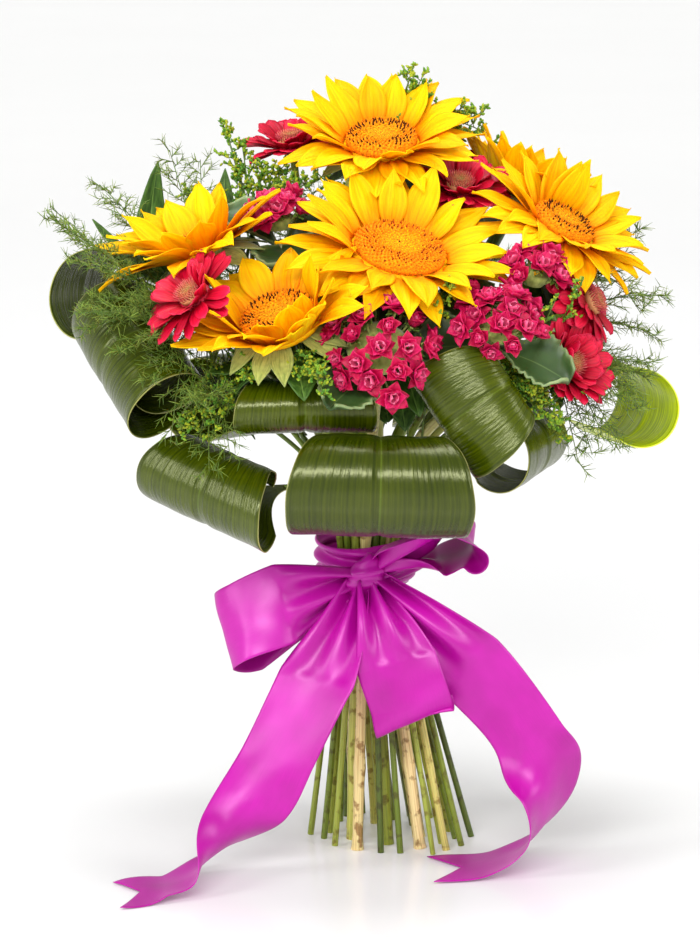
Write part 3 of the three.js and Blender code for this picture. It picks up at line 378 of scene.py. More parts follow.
def ribbon_length(path):
    points = [through(path, i / LENGTH_STEPS) for i in range(LENGTH_STEPS + 1)]
    return sum((points[i + 1] - points[i]).length for i in range(LENGTH_STEPS))


# The ribbon keeps its width where it is gathered, because it folds there into pleats.
# It lies flat where it comes down to the floor.
def ribbon_strip(name, strip, both_ends, notched, pleats, ripple):
    shape = new_shape()

    def place(u, v):
        run = v * (1 - NOTCH_DEPTH * (1 - abs(u)) * v ** 6) if notched else v
        point = through(strip["path"], run)
        ahead = through(strip["path"], min(run + 0.01, 1)) - through(strip["path"], max(run - 0.01, 0))
        ahead.normalize()
        across = through(strip["across"], run).normalized()
        across = (across - ahead * across.dot(ahead) * SQUARED).normalized()
        face = ahead.cross(across).normalized()
        openness = min(1, GATHERED + OPENING_OUT * run)
        if both_ends:
            openness = min(openness, GATHERED + OPENING_OUT * (1 - run))
        steep = math.sqrt(max(1 / openness ** 2 - 1, 0))
        fold = RIBBON_WIDTH * openness / pleats / 4 * steep
        lift = fold * math.sin(u * pleats * math.pi + 0.6) * 0.8
        lift += ripple * math.sin(u * 2.1 + run * 17) * math.sin(run * math.pi)
        lift += ripple * 0.4 * math.sin(u * 5.3 - run * 9) * (1 - openness * 0.4)
        flat_end = min(1, point.z / FLAT_HEIGHT)
        return point + across * (u * RIBBON_WIDTH / 2 * openness) + face * lift * flat_end

    skin(shape, columns=28, rows=110, place=place)
    return hand_over(name, shape, ribbon_finish, thickness=RIBBON_WALL, closed=False)


ribbon_finish, tree, shader = begin_finish("magenta_satin", 0.36, Anisotropic=0.4,
                                           Specular_IOR_Level=0.75)
shader.inputs["Specular Tint"].default_value = (1.0, 0.6, 0.95, 1)
threads = streaks(tree, 420, 14, 1.0)
# The mottle paints patches of lighter and darker magenta over the satin, a painted sheen, under the threads'
# weave.
satin = ramp(tree, mottle(tree, 26.0), [(0.3, (0.38, 0.0, 0.25)), (0.72, (0.53, 0.002, 0.37))])
paint(tree, shader, blend_colours(tree, "OVERLAY", 0.18, satin, threads))
raise_relief(tree, shader, threads, 0.12, 0.0002)

WRAP_RADIUS = twine_half + 3.6
WRAP_TURNS = 1.1
WRAP_PLEATS = 3
WRAP_FOLD = 2.2
WRAP_HALF_HEIGHT = 14.5
WRAP_START = 1.4
KNOT_AT = Vector((0, -WRAP_RADIUS - 5.5, TIE_HEIGHT - 2))
KNOT_HALF_HEIGHT = 13


def around_neck(u, v):
    turn = v * WRAP_TURNS * 2 * math.pi
    lean = 1.1 * math.sin(turn + 1) + 0.5 * math.sin(turn * 2)
    reach = WRAP_RADIUS + 0.9 * v + WRAP_FOLD * math.sin(u * WRAP_PLEATS * math.pi + lean)
    reach += 0.4 * math.sin(u * 4 + turn * 3)
    return Vector((reach * math.cos(turn - WRAP_START), reach * math.sin(turn - WRAP_START),
                   TIE_HEIGHT + u * WRAP_HALF_HEIGHT + 1.2 * math.sin(turn * 2)))


wrap_shape = new_shape()
skin(wrap_shape, columns=40, rows=120, place=around_neck)
ribbon_wrap = hand_over("ribbon_wrap", wrap_shape, ribbon_finish,
                        thickness=RIBBON_WALL, closed=False)
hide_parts("ribbon_bow")


# The knot, where the ribbon crosses over the wrap and is drawn tight into soft folds
def knot_place(u, v):
    turn = v * 2 * math.pi
    belly = math.cos(u * math.pi / 2) ** 0.6
    fold = 1 + 0.09 * math.sin(u * 11 + turn) * belly
    return KNOT_AT + Vector((math.cos(turn) * (10.5 * belly + 1.5) * fold,
                             math.sin(turn) * (6.5 * belly + 1.0) * fold - 1.5,
                             u * KNOT_HALF_HEIGHT + 2.5 * math.cos(turn)))


knot_shape = new_shape()
closed_skin(knot_shape, columns=24, rows=40, place=knot_place)
hand_over("ribbon_knot", knot_shape, ribbon_finish, thickness=RIBBON_WALL)

for name, strip, both_ends, notched, pleats, ripple in (
    ("ribbon_tail_left", LEFT_TAIL, False, True, 2, 1.6),
    ("ribbon_tail_right", RIGHT_TAIL, False, True, 2, 1.6),
    ("ribbon_loop_left", LEFT_LOOP, True, False, 2, 1.2),
    ("ribbon_loop_right", RIGHT_LOOP, True, False, 2, 1.2),
    ("ribbon_loop_hanging", HANGING_LOOP, True, False, 2, 1.4),
):
    piece = ribbon_strip(name, strip, both_ends, notched, pleats, ripple)
    flat = (RIBBON_WIDTH * MILLIMETRE, ribbon_length(strip["path"]) * MILLIMETRE)


# Stems: fresh cut stems, tied where they cross, which spread above and below the tie.
# They are packed round the neck as a florist feeds them in, the thickest first.
# A neck place is the way out from the middle, as an angle, and how far, from 0 to 1.
STEM_SPLAY = 0.0089
STEM_TWIST = 0.0067
STEM_LEAN = 0.07
STEM_GAP = 0.45
STEM_ROWS = 52
STEM_JOINTS = 9
LOWER_SHARE = 0.45
HEAD_REACH = 0.42
NECK_SOFTNESS = 15.0
NECK_HALF = 19
NECK_PULL = 0.7
SPREAD_TOP = 24.0
SUNFLOWER_STEM = 4.2
GERBERA_STEM = 2.3
KALANCHOE_STEM = 3.4
LEAF_STALK = 2.0
FILLER_STEM = 1.7


# A table with one thing on each line, whose columns have the given names
def table(columns, *lines):
    return [dict(zip(columns.split(), line)) for line in lines]


SUNFLOWERS = table(
    "name at face disc petal lift side extra neck glow",
    ("sunflower_top", (10, 25, 440), (-0.02, -0.32, 0.95), 22, 42, 0.34, 1.6, 0.25, (1.5, 0.2), 0.0),
    ("sunflower_front", (21, -58, 386), (0.2, -0.34, 0.92), 28, 46, 0.2, 1.7, 0.32, (4.9, 0.3), 0.5),
    ("sunflower_low_left", (-52, -98, 352), (-0.25, -0.42, 0.87), 23, 40, 0.5, 4.9, 0.42, (4.1, 0.35), 0.0),
    ("sunflower_left", (-102, -28, 384), (-0.4, -0.02, 0.92), 19, 46, 0.5, 1.9, 0.22, (3.3, 0.5), 0.5),
    ("sunflower_right_back", (97, 59, 402), (0.42, 0.28, 0.87), 18, 42, 0.72, 2.0, 0.25, (0.6, 0.5), 0.5),
    ("sunflower_right", (122, -8, 393), (0.46, -0.2, 0.87), 20, 40, 0.2, 1.6, 0.3, (0.1, 0.5), 0.0))
GERBERAS = table(
    "name at face petal lift neck",
    ("gerbera_left", (-104, -101, 366), (-0.55, -0.42, 0.72), 25, 0.05, (3.8, 0.75)),
    ("gerbera_top_left", (-46, 45, 436), (-0.12, -0.16, 0.98), 24, 0.2, (2.2, 0.8)),
    ("gerbera_top_right", (58, 5, 415), (0.12, -0.42, 0.9), 24, 0.22, (5.9, 0.2)),
    ("gerbera_right", (139, -42, 350), (0.86, -0.24, 0.44), 24, -0.45, (5.8, 0.9)),
    ("gerbera_low_right", (124, -72, 318), (0.66, -0.6, 0.44), 22, 0.5, (5.75, 1)),
    ("gerbera_back", (62, 84, 410), (0.12, 0.5, 0.86), 24, 0.15, (1.2, 0.8)))
KALANCHOES = table(
    "name neck leaves leaf_length turn lobes",
    ("kalanchoe_front", (4.75, 0.5), 5, 44, 0.3, table(
        "at face dome spread count",
        ((7, -95, 322), (0, -0.7, 0.7), 42, 1.06, 22))),
    ("kalanchoe_right", (5.4, 0.5), 5, 44, 0.9, table(
        "at face dome spread count",
        ((76, -84, 334), (0.12, -0.6, 0.78), 32, 1.0, 15),
        ((98, -54, 358), (0.25, -0.25, 0.93), 27, 0.85, 8))),
    ("kalanchoe_left", (2.9, 0.3), 3, 36, 0.6, table(
        "at face dome spread count",
        ((-52, -18, 385), (-0.1, -0.2, 0.97), 26, 0.85, 9))))
GOLDENRODS = [
    {"name": "goldenrod_top", "neck": (1.7, 0.6), "fork": (12, 62, 400),
     "tips": [(30, 50, 480), (62, 48, 456), (-16, 78, 446), (36, 110, 418), (-30, 108, 404)],
     "more": [(23, 50, 471), (36, 52, 474), (74, 55, 451), (56, 40, 440), (68, 42, 438), (40, 50, 453),
              (4, 84, 434), (84, 84, 424), (60, 108, 410)]},
    {"name": "goldenrod_left", "neck": (3.0, 0.8), "fork": (-70, 22, 380),
     "tips": [(-88, 42, 445), (-64, 30, 428), (-112, 62, 400), (-80, 92, 392), (-120, 34, 372)],
     "more": [(-76, 32, 434), (-62, 16, 424), (-44, 6, 414), (-30, 0, 416), (-78, 30, 415),
              (-49, 20, 423), (-28, -146, 324), (-24, -146, 312), (-38, -132, 322), (-98, -112, 279),
              (-88, -112, 287), (-110, -112, 284), (-82, -105, 292), (-70, -120, 318), (-56, 104, 396)]},
    {"name": "goldenrod_right", "neck": (5.9, 0.9), "fork": (70, -50, 310),
     "tips": [(100, -98, 300), (112, -104, 286), (98, -104, 366), (44, -96, 360), (132, -78, 298)],
     "more": [(103, -95, 304), (116, -90, 286), (123, -85, 273), (134, -72, 310), (92, -92, 292),
              (84, -98, 282), (103, -88, 366), (115, -82, 376), (130, -72, 369), (97, -96, 358),
              (112, -88, 358), (35, -105, 359), (50, -97, 366), (41, -104, 350), (125, -78, 352),
              (122, 30, 366), (100, 84, 372)]},
]
FERNS = [
    {"name": "fern_left", "neck": (2.9, 0.6), "fork": (-96, -44, 338),
     "tips": [(-176, -70, 378), (-168, -96, 352), (-190, -50, 402), (-150, -104, 330), (-118, -132, 300),
              (-140, -128, 276), (-96, -134, 306)],
     "more": [(-188, 20, 392), (-164, 30, 409), (-121, 40, 429), (-102, 40, 423), (-163, -50, 352),
              (-168, -70, 337), (-127, -110, 339), (-154, -40, 365), (-140, -90, 347), (-127, -110, 312),
              (-115, -120, 279), (-80, -125, 274), (-92, -128, 264), (-104, -112, 303), (-150, 10, 400),
              (-178, -20, 384), (-146, -88, 326), (-134, -74, 352)]},
    {"name": "fern_right", "neck": (6.2, 0.5), "fork": (108, -16, 330),
     "tips": [(186, -40, 352), (176, -60, 320), (160, -80, 290), (172, -30, 300), (150, -86, 318),
              (170, 40, 380)],
     "more": [(141, -60, 311), (167, -32, 340), (184, 0, 345), (154, -60, 262), (128, -72, 256),
              (143, -80, 272), (159, -60, 301), (148, -70, 296), (166, -52, 286), (172, -44, 312),
              (136, -76, 262), (180, 10, 318)]},
    {"name": "fern_back", "neck": (1.9, 0.9), "fork": (-10, 70, 350),
     "tips": [(-66, 128, 370), (-14, 142, 380), (44, 138, 362), (-110, 108, 350), (104, 112, 352)],
     "more": [(-40, 128, 396), (16, 130, 400), (76, 128, 376), (-90, 110, 372), (132, 84, 344),
              (-136, 78, 330)]},
]
# The last column is each blade's tone: up to 0.35 it is the leaf's own dark green, and the 1.0 of
# leaf_right_wide is painted light, a bright yellow-green as if lit through the blade.
LEAF_ROLLS = table(
    "name at axis out half radii turn neck bright",
    ("leaf_front_low", (8, -124, 254), (1, 0.02, -0.03), (0, -1, 0), 56, (26, 30), 5.0, (4.85, 1), 0.12),
    ("leaf_left_low", (-86, -84, 242), (0.75, -0.62, -0.2), (-0.62, -0.75, 0),
     50, (22, 23), 5.0, (3.9, 1), 0.25),
    ("leaf_front_middle", (-36, -93, 296), (1, 0.02, 0.01), (0, -1, 0), 43, (20, 16), 5.0, (4.35, 0.75), 0.3),
    ("leaf_right_slant", (66, -106, 298), (0.55, -0.28, -0.78), (-0.1, -1, 0.2),
     38, (14, 25), 4.6, (5.1, 0.9), 0.3),
    ("leaf_left_wide", (-136, -52, 314), (0.41, -0.77, -0.48), (-1, -0.4, 0.2),
     48, (26, 27), 7.4, (3.5, 1), 0.2),
    ("leaf_left_back", (-157, 26, 343), (-0.48, -0.86, 0.1), (-1, 0, 0.2),
     36, (22, 28), 4.8, (2.9, 1), 0.35),
    ("leaf_right_low", (90, -40, 259), (-0.36, -0.93, 0), (1, -0.1, 0), 37, (23, 22), 5.0, (6.12, 1), 0.3),
    ("leaf_right_wide", (156, 6, 277), (0.4, -0.9, 0.05), (1, -0.1, 0), 40, (22, 24), 5.0, (0.2, 1), 1.0),
    ("leaf_back_left", (-72, 104, 262), (-0.82, -0.56, 0), (-0.56, 0.82, 0),
     54, (25, 27), 5.0, (2.3, 1), 0.2),
    ("leaf_back_right", (60, 110, 262), (-0.9, 0.42, 0), (0.42, 0.9, 0), 54, (25, 27), 5.0, (1.1, 1), 0.3))


# The place of a stem at a height, from its place in the neck: all stems grow apart alike
def bundle_point(spot, height):
    rise = height - TIE_HEIGHT
    grow = 1 + STEM_SPLAY * (math.hypot(rise, NECK_SOFTNESS) - NECK_SOFTNESS)
    turn = STEM_TWIST * rise
    return Vector((grow * spot.x - turn * spot.y - STEM_LEAN * rise,
                   grow * spot.y + turn * spot.x, height))


# Each round stem goes against two placed before it, on the side of the neck where it is wanted
def pack_neck(stems):
    placed = []
    for (angle, rank), radius in stems:
        want = Vector((math.cos(angle), math.sin(angle))) * rank * NECK_HALF
        spots = []
        if not placed:
            spots.append(Vector((0, 0)))
        if len(placed) == 1:
            spots.append(Vector((placed[0][1] + radius + STEM_GAP, 0)))
        for i, (first, first_radius) in enumerate(placed):
            for j, (second, second_radius) in enumerate(placed):
                if i == j:
                    continue
                span = (second - first).length
                reach_a = first_radius + radius + STEM_GAP
                reach_b = second_radius + radius + STEM_GAP
                if span > reach_a + reach_b:
                    continue
                along = (reach_a ** 2 - reach_b ** 2 + span ** 2) / (2 * span)
                off = math.sqrt(max(reach_a ** 2 - along ** 2, 0))
                line = (second - first) / span
                spots.append(first + Vector((line.x * along - line.y * off, line.y * along + line.x * off)))
        free = [s for s in spots
                if all((s - other).length > other_radius + radius + STEM_GAP - 1e-4
                       for other, other_radius in placed)]
        placed.append((min(free, key=lambda s: s.length * NECK_PULL + (s - want).length), radius))
    return [spot for spot, radius in placed]


bundle = [(f["neck"], SUNFLOWER_STEM) for f in SUNFLOWERS]
bundle += [(k["neck"], KALANCHOE_STEM) for k in KALANCHOES]
bundle += [(g["neck"], GERBERA_STEM) for g in GERBERAS]
bundle += [(s["neck"], FILLER_STEM) for s in GOLDENRODS + FERNS]
bundle += [(leaf["neck"], LEAF_STALK) for leaf in LEAF_ROLLS]
for owner, spot in zip(SUNFLOWERS + KALANCHOES + GERBERAS + GOLDENRODS + FERNS + LEAF_ROLLS,
                       pack_neck(bundle)):
    owner["spot"] = spot


# The same draw on every run, so petals and buds always fall alike
def draw(seed, index):
    value = math.sin(seed * 12.9898 + index * 78.233) * 43758.5453
    return value - math.floor(value)


def spread_draw(seed, index):
    return draw(seed, index) * 2 - 1


def bezier(points, t):
    a, b, c, d = points
    s = 1 - t
    return a * s ** 3 + b * 3 * s * s * t + c * 3 * s * t * t + d * t ** 3


def bezier_heading(points, t):
    a, b, c, d = points
    s = 1 - t
    return ((b - a) * s * s + (c - b) * 2 * s * t + (d - c) * t * t).normalized()


# Where a stem leaves the straight part of the bundle, and the way it runs there
def bundle_exit(spot):
    start = bundle_point(spot, TIE_HEIGHT + SPREAD_TOP)
    return start, (bundle_point(spot, TIE_HEIGHT + SPREAD_TOP + 1) - start).normalized()


def upper_curve(spot, head, end):
    start, ahead = bundle_exit(spot)
    reach = (head - start).length * HEAD_REACH
    return [start, start + ahead * reach, head - end * reach, head]


# A whole stem from the floor through the neck to its head, with swollen joints where it has them
def whole_stem(shape, spot, radius, curve, end_radius, sides, joints=0.0, tone=0.5, share=1.0):
    def centre(t):
        if t <= LOWER_SHARE:
            height = t / LOWER_SHARE * (TIE_HEIGHT + SPREAD_TOP)
            point = bundle_point(spot, height)
            return point, (bundle_point(spot, height + 1) - point).normalized()
        s = (t - LOWER_SHARE) / (1 - LOWER_SHARE) * share
        return bezier(curve, s), bezier_heading(curve, s)

    def width(t):
        base = radius
        if t > LOWER_SHARE:
            base += (end_radius - radius) * (t - LOWER_SHARE) / (1 - LOWER_SHARE)
        swell = joints * max(0, math.cos(t * 2 * math.pi * STEM_JOINTS)) ** 12
        return base * (0.97 + 0.03 * math.sin(t * 31 + radius * 7)) + swell

    tube(shape, sides, STEM_ROWS, centre, width, tone)


# Axes of a flower head: u to the right, v to the back, n the way it faces
def head_axes(at, face):
    n = Vector(face).normalized()
    u = Vector((0, 1, 0)).cross(n).normalized()
    return {"at": Vector(at), "u": u, "v": n.cross(u), "n": n}


def on_head(head, x, y, z):
    return head["at"] + head["u"] * x + head["v"] * y + head["n"] * z


# The tone runs from old dark green through fresh green to straw, and the cut foot is pale
def stem_material(name, tones, streak, spotted):
    finish, tree, shader = begin_finish(name, 0.4, Subsurface_Weight=0.08, Subsurface_Scale=0.002)
    height = node(tree, "ShaderNodeSeparateXYZ",
                  {"Vector": node(tree, "ShaderNodeTexCoord").outputs["Object"]}).outputs["Z"]
    body = ramp(tree, tone_of(tree), tones)
    higher = ramp(tree, height, [(0.0, (1.5, 1.45, 1.5)), (0.003, (1, 1, 1)), (0.16, (1, 1, 1)),
                                 (0.32, (0.62, 0.85, 0.5))])
    lines = streaks(tree, 22, 9)
    grain = ramp(tree, lines, [(0.34, streak), (0.56, (1.1, 1.1, 1))])
    risen = blend_colours(tree, "MULTIPLY", 1.0, blend_colours(tree, "MULTIPLY", 0.7, body, grain), higher)
    spots = ramp(tree, mottle(tree, 150.0, 5.0), [(0.36, spotted), (0.46, (1, 1, 1))])
    paint(tree, shader, blend_colours(tree, "MULTIPLY", 0.85, risen, spots))
    raise_relief(tree, shader, lines, 0.4, 0.0008)
    return finish


green_stem = stem_material("green_stem_skin", [(0.0, (0.13, 0.16, 0.016)), (0.3, (0.26, 0.31, 0.03)),
                                               (0.6, (0.48, 0.51, 0.08)), (1.0, (0.76, 0.62, 0.24))],
                           (0.55, 0.6, 0.35), (0.42, 0.28, 0.12))
woody_stem = stem_material("woody_stem_bark", [(0.0, (0.52, 0.46, 0.14)), (1.0, (0.86, 0.69, 0.36))],
                           (0.6, 0.45, 0.25), (0.34, 0.2, 0.08))
fine_stem = stem_material("filler_stem_skin", [(0.0, (0.08, 0.12, 0.012)), (0.5, (0.18, 0.25, 0.022)),
                                               (1.0, (0.4, 0.46, 0.07))],
                          (0.55, 0.55, 0.35), (0.5, 0.36, 0.25))


# Obstacles: what already stands in the bouquet, in the order in which it is put together.
# A petal or twig that would touch one of them bends away from it, as it does in the bunch.
CLEARANCE = 0.3
SHORTER = (1, 0.86, 0.72, 0.58, 0.45, 0.32)
BENDS = (0, 0.14, -0.14, 0.28, -0.28, 0.42, -0.42, 0.6, -0.6, 0.8, 1.0, 1.2)
taken = []


def box_of(points):
    return [Vector([pick(point[k] for point in points) for k in range(3)]) for pick in (min, max)]


def take(cad_name):
    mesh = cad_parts[cad_name].data
    points = [(vert.co - tie_shift) * 1000 for vert in mesh.vertices]
    faces = [tuple(face.vertices) for face in mesh.polygons]
    taken.append((BVHTree.FromPolygons(points, faces), *box_of(points)))


def is_clear(points, faces):
    low, high = box_of(points)
    tree = None
    for other, other_low, other_high in taken:
        if any(low[k] > other_high[k] or other_low[k] > high[k] for k in range(3)):
            continue
        tree = tree or BVHTree.FromPolygons(points, faces)
        if tree.overlap(other):
            return False
    return True


def blade_profile(t):
    return math.sin(math.pi * (0.13 + 0.87 * t)) ** 0.8 if t < 0.999 else 0.0


# The middle line of a petal or sepal at t, with the ways across it and out of its face
def blade_spine(head, blade, lift, length, t):
    radial = head["u"] * math.cos(blade["azimuth"]) + head["v"] * math.sin(blade["azimuth"])
    sideways = head["n"].cross(radial)
    middle = lift + blade["droop"] * t / 2
    slope = lift + blade["droop"] * t
    point = head["at"] + head["n"] * (blade["base"] + length * t * math.sin(middle))
    point += radial * (blade["root"] + length * t * math.cos(middle))
    above = head["n"] * math.cos(slope) - radial * math.sin(slope)
    turn = blade["twist"] * t
    flat = sideways * math.cos(turn) + above * math.sin(turn)
    thick = above * math.cos(turn) - sideways * math.sin(turn)
    return point, flat, thick


# The faces of a three-sided tube whose points go round it ring by ring
def tube_faces(steps):
    faces = []
    for ring in range(steps):
        for k in range(3):
            a, b = ring * 3 + k, ring * 3 + (k + 1) % 3
            faces += [(a, b, b + 3), (a, b + 3, a + 3)]
    return faces


# A petal or sepal as a plain test shape, a little larger than the fine one
def coarse_blade(head, blade, lift, size):
    steps = blade["steps"]
    length = blade["length"] * size + CLEARANCE
    points = []
    for ring in range(steps + 1):
        t = 1 - ring / steps
        point, flat, thick = blade_spine(head, blade, lift, length, t)
        width = 0 if t > 0.999 else blade["width"] * blade_profile(t) + CLEARANCE
        rib = 0 if t > 0.999 else blade["thickness"] / 2 + CLEARANCE
        for k in range(3):
            across, up = math.sin(k * 2 * math.pi / 3), math.cos(k * 2 * math.pi / 3)
            curl = abs(across) * blade["curl"] * blade["width"]
            points.append(point + flat * (across * width) + thick * (up * rib + curl))
    return points, tube_faces(steps) + [(steps * 3, steps * 3 + 1, steps * 3 + 2)]


# The first bend, and if need be the first shorter length, at which a blade touches nothing
def clear_blade(head, blade):
    for size in SHORTER:
        for bend in BENDS:
            if is_clear(*coarse_blade(head, blade, blade["lift"] + bend, size)):
                return blade["lift"] + bend, size
    return None


take("binding_twine")
take("ribbon_bow")


# Leaf collar: long aspidistra leaves, each folded back into a roll and tucked in round the bunch.
# The blade is leathery, dark and glossy, with fine veins along it and a paler rib in the middle.
# A blade rises from its stalk, the lead, and then goes round its roll, whose end is tucked in.
START_ANGLE = -2.2
TUCK_ANGLE = 2.2
STALK_END = 0.62
BLADE_START = STALK_END - 0.06
LEAD_SHARE = 0.2
LEAD_WIDTH = 0.72
LEAF_WALL = 0.6

leaf_finish, tree, shader = begin_finish("waxy_leaf", 0.23, Specular_IOR_Level=0.6)
shader.inputs["Specular Tint"].default_value = (0.82, 0.85, 0.5, 1)
# Tones up to 0.35 give the leaves' own dark to mid green; the bright yellow-green at 1.0 is painted light,
# for a blade lit through from behind.
leaf_tone_and_backlight = ramp(tree, tone_of(tree), [(0.0, (0.02, 0.031, 0.0)), (0.35, (0.058, 0.079, 0.0)),
                                   (1.0, (0.66, 0.77, 0.0))])
veins = streaks(tree, 60, 1.6, 3.0)
veined = blend_colours(tree, "MULTIPLY", 0.75, leaf_tone_and_backlight,
                       ramp(tree, veins, [(0.36, (0.4, 0.5, 0.3)), (0.62, (1.3, 1.25, 1.2))]))
edge_u = uv_part(tree, "X")
rib = ramp(tree, edge_u, [(0.0, (0.4, 0.36, 0.14)), (0.006, (0, 0, 0)), (0.492, (0, 0, 0)),
                          (0.5, (0.06, 0.09, 0.01)), (0.508, (0, 0, 0)), (0.994, (0, 0, 0)),
                          (1.0, (0.4, 0.36, 0.14))])
ribbed = blend_colours(tree, "ADD", 0.8, veined, rib)
clouds = ramp(tree, mottle(tree, 34.0), [(0.35, (0.72, 0.78, 0.7)), (0.7, (1.1, 1.08, 1.0))])
paint(tree, shader, blend_colours(tree, "MULTIPLY", 0.8, ribbed, clouds))
crinkle = streaks(tree, 26, 8, 3.0)
relief = node(tree, "ShaderNodeMath", {0: crinkle, 1: 1.6, 2: veins}, operation="MULTIPLY_ADD").outputs[0]
raise_relief(tree, shader, relief, 0.32, 0.0012)


def leaf_roll(leaf, seed):
    centre = Vector(leaf["at"])
    axis = Vector(leaf["axis"]).normalized()
    want = Vector(leaf["out"])
    out = (want - axis * want.dot(axis)).normalized()
    up = axis.cross(out)
    if up.z < 0:
        up.negate()

    def on_roll(angle, swell=1.0):
        shrink = (1 - 0.13 * max(0, angle - TUCK_ANGLE)) * swell
        outward = out * (leaf["radii"][0] * shrink * math.cos(angle))
        return centre + outward + up * (leaf["radii"][1] * shrink * math.sin(angle))

    first = on_roll(START_ANGLE)
    heading = (on_roll(START_ANGLE + 0.01) - first).normalized()
    start, ahead = bundle_exit(leaf["spot"])
    span = (first - start).length
    lead = [start, start + ahead * span * 0.35, first - heading * span * 0.4, first]

    def place(u, v):
        in_lead = v < LEAD_SHARE
        t = v / LEAD_SHARE if in_lead else (v - LEAD_SHARE) / (1 - LEAD_SHARE)
        wave = 1 + 0.025 * math.sin(u * 3.4 + seed * 2 + t * 4) * abs(u)
        wave += 0.005 * math.sin(u * 13 + t * 5)
        if in_lead:
            spine = bezier(lead, BLADE_START + (1 - BLADE_START) * t)
            widen = 0.06 + (LEAD_WIDTH - 0.06) * t * t
            narrow = 1.0
        else:
            spine = on_roll(START_ANGLE + leaf["turn"] * t, wave)
            widen = LEAD_WIDTH + (1 - LEAD_WIDTH) * math.sin(math.pi * min(1, t * 1.25))
            narrow = 1 - 0.35 * t ** 4
        edge = 1 + 0.004 * math.sin(v * 38 + seed * 5 + u)
        fold = -1.3 * math.exp(-(u / 0.06) ** 2)
        outward = (spine - centre).normalized() if not in_lead else out * 0
        return spine + axis * (u * leaf["half"] * widen * narrow * edge) + outward * fold

    blade_shape = new_shape()
    # The tone is the blade's own green, and painted backlight where it is 1.0
    skin(blade_shape, columns=30, rows=84, place=place, tone=leaf["bright"])
    hand_over(leaf["name"] + "_blade", blade_shape, leaf_finish, [leaf["name"]],
              thickness=LEAF_WALL, closed=False)
    stalk_shape = new_shape()
    whole_stem(stalk_shape, leaf["spot"], LEAF_STALK, lead, end_radius=1.2, sides=10,
               tone=(seed * 0.43) % 1, share=STALK_END)
    hand_over(leaf["name"] + "_stalk", stalk_shape, fine_stem)


for seed, leaf in enumerate(LEAF_ROLLS):
    leaf_roll(leaf, seed)
    take(leaf["name"])


# Flower discs: hundreds of small florets set in crossing spirals on a low mound.
# The sunflowers' are yellow in the middle and orange outside, with dark specks, and the gerberas' coral.
SUN_MOUND = [(1.0, -0.2), (0.82, 3.4), (0.54, 3.6), (0.26, 2.2), (0.0, 2.4)]
SUN_FLORETS_PER_AREA = 0.62
SUN_FLORET = 0.78
DARK_SPECK = 0.43
GERBERA_DISC = 8.0
GERBERA_MOUND = [(1.0, -0.2), (0.6, 2.8), (0.0, 1.8)]
GERBERA_STAMENS = 150
GERBERA_STAMEN = 0.42
DISC_LOW = -3.8
DISC_RINGS = 10
FLORET_FOOTING = 0.6
GOLDEN_TURN = math.pi * (3 - math.sqrt(5))


# The height of a mound at a part of its radius
def mound_height(mound, part):
    for (outer, low), (inner, high) in zip(mound, mound[1:]):
        if part >= inner:
            return high + (low - high) * (part - inner) / (outer - inner)
    return mound[-1][1]


disc_finish, tree, shader = begin_finish("disc_florets", 0.9, Specular_IOR_Level=0.2)
ring = ramp(tree, tone_of(tree), [
    (0.0, (0.6, 0.42, 0.01)), (0.16, (0.68, 0.34, 0.0)), (0.26, (0.82, 0.24, 0.0)), (0.35, (0.8, 0.3, 0.0)),
    (0.38, (0.08, 0.02, 0.0)), (0.48, (0.06, 0.014, 0.0)), (0.52, (0.6, 0.5, 0.005)),
    (0.62, (0.74, 0.42, 0.0)), (0.75, (0.86, 0.25, 0.0)), (0.9, (0.84, 0.3, 0.0)),
    (0.93, (0.3, 0.05, 0.0)), (1.0, (0.2, 0.03, 0.0))])
grains = ramp(tree, mottle(tree, 900.0), [(0.4, (0.55, 0.5, 0.45)), (0.62, (1.5, 1.4, 1.1))])
paint(tree, shader, blend_colours(tree, "MULTIPLY", 0.8, ring, grains))
raise_relief(tree, shader, mottle(tree, 1400.0), 0.5, 0.0005)


# A finish for small grainy things, whose tones run along a ramp under a fine mottle
def grainy_finish(name, roughness, glow, tones, speckle, amount, grain, relief):
    finish, tree, shader = begin_finish(name, roughness, Subsurface_Weight=glow, Subsurface_Scale=0.001)
    colour = ramp(tree, tone_of(tree), tones)
    paint(tree, shader, blend_colours(tree, "MULTIPLY", amount, colour, mottle(tree, speckle)))
    raise_relief(tree, shader, mottle(tree, grain), relief, relief * MILLIMETRE)
    return finish


stamen_finish = grainy_finish("coral_stamens", 0.7, 0.1, [
    (0.0, (0.5, 0.42, 0.1)), (0.4, (0.82, 0.3, 0.14)), (0.8, (0.8, 0.11, 0.13)),
    (1.0, (0.66, 0.03, 0.1))], speckle=700.0, amount=0.5, grain=1500.0, relief=0.3)


# One floret or stamen: a small pointed cone that leans outwards
def small_cone(shape, foot, tip, radius, sides, tone):
    line = tip - foot
    turn = Vector((0, 0, 1)).rotation_difference(line.normalized()).to_matrix().to_4x4()
    spot = Matrix.Translation((foot + tip) / 2) @ turn
    made = bmesh.ops.create_cone(shape, segments=sides, radius1=radius, radius2=radius * 0.25,
                                 depth=line.length, cap_ends=True, matrix=spot)["verts"]
    tones = shape.verts.layers.float["tone"]
    for vert in made:
        vert[tones] = tone


# A body turned about a head's own axis, from its outline of points (reach, height)
def turned_body(shape, head, outline, sides, tone):
    last = len(outline) - 1

    def place(u, v):
        reach, height = outline[round(v * last)]
        return on_head(head, reach * math.cos(math.pi * u), reach * math.sin(math.pi * u), height)

    closed_skin(shape, sides, last, place, tone)


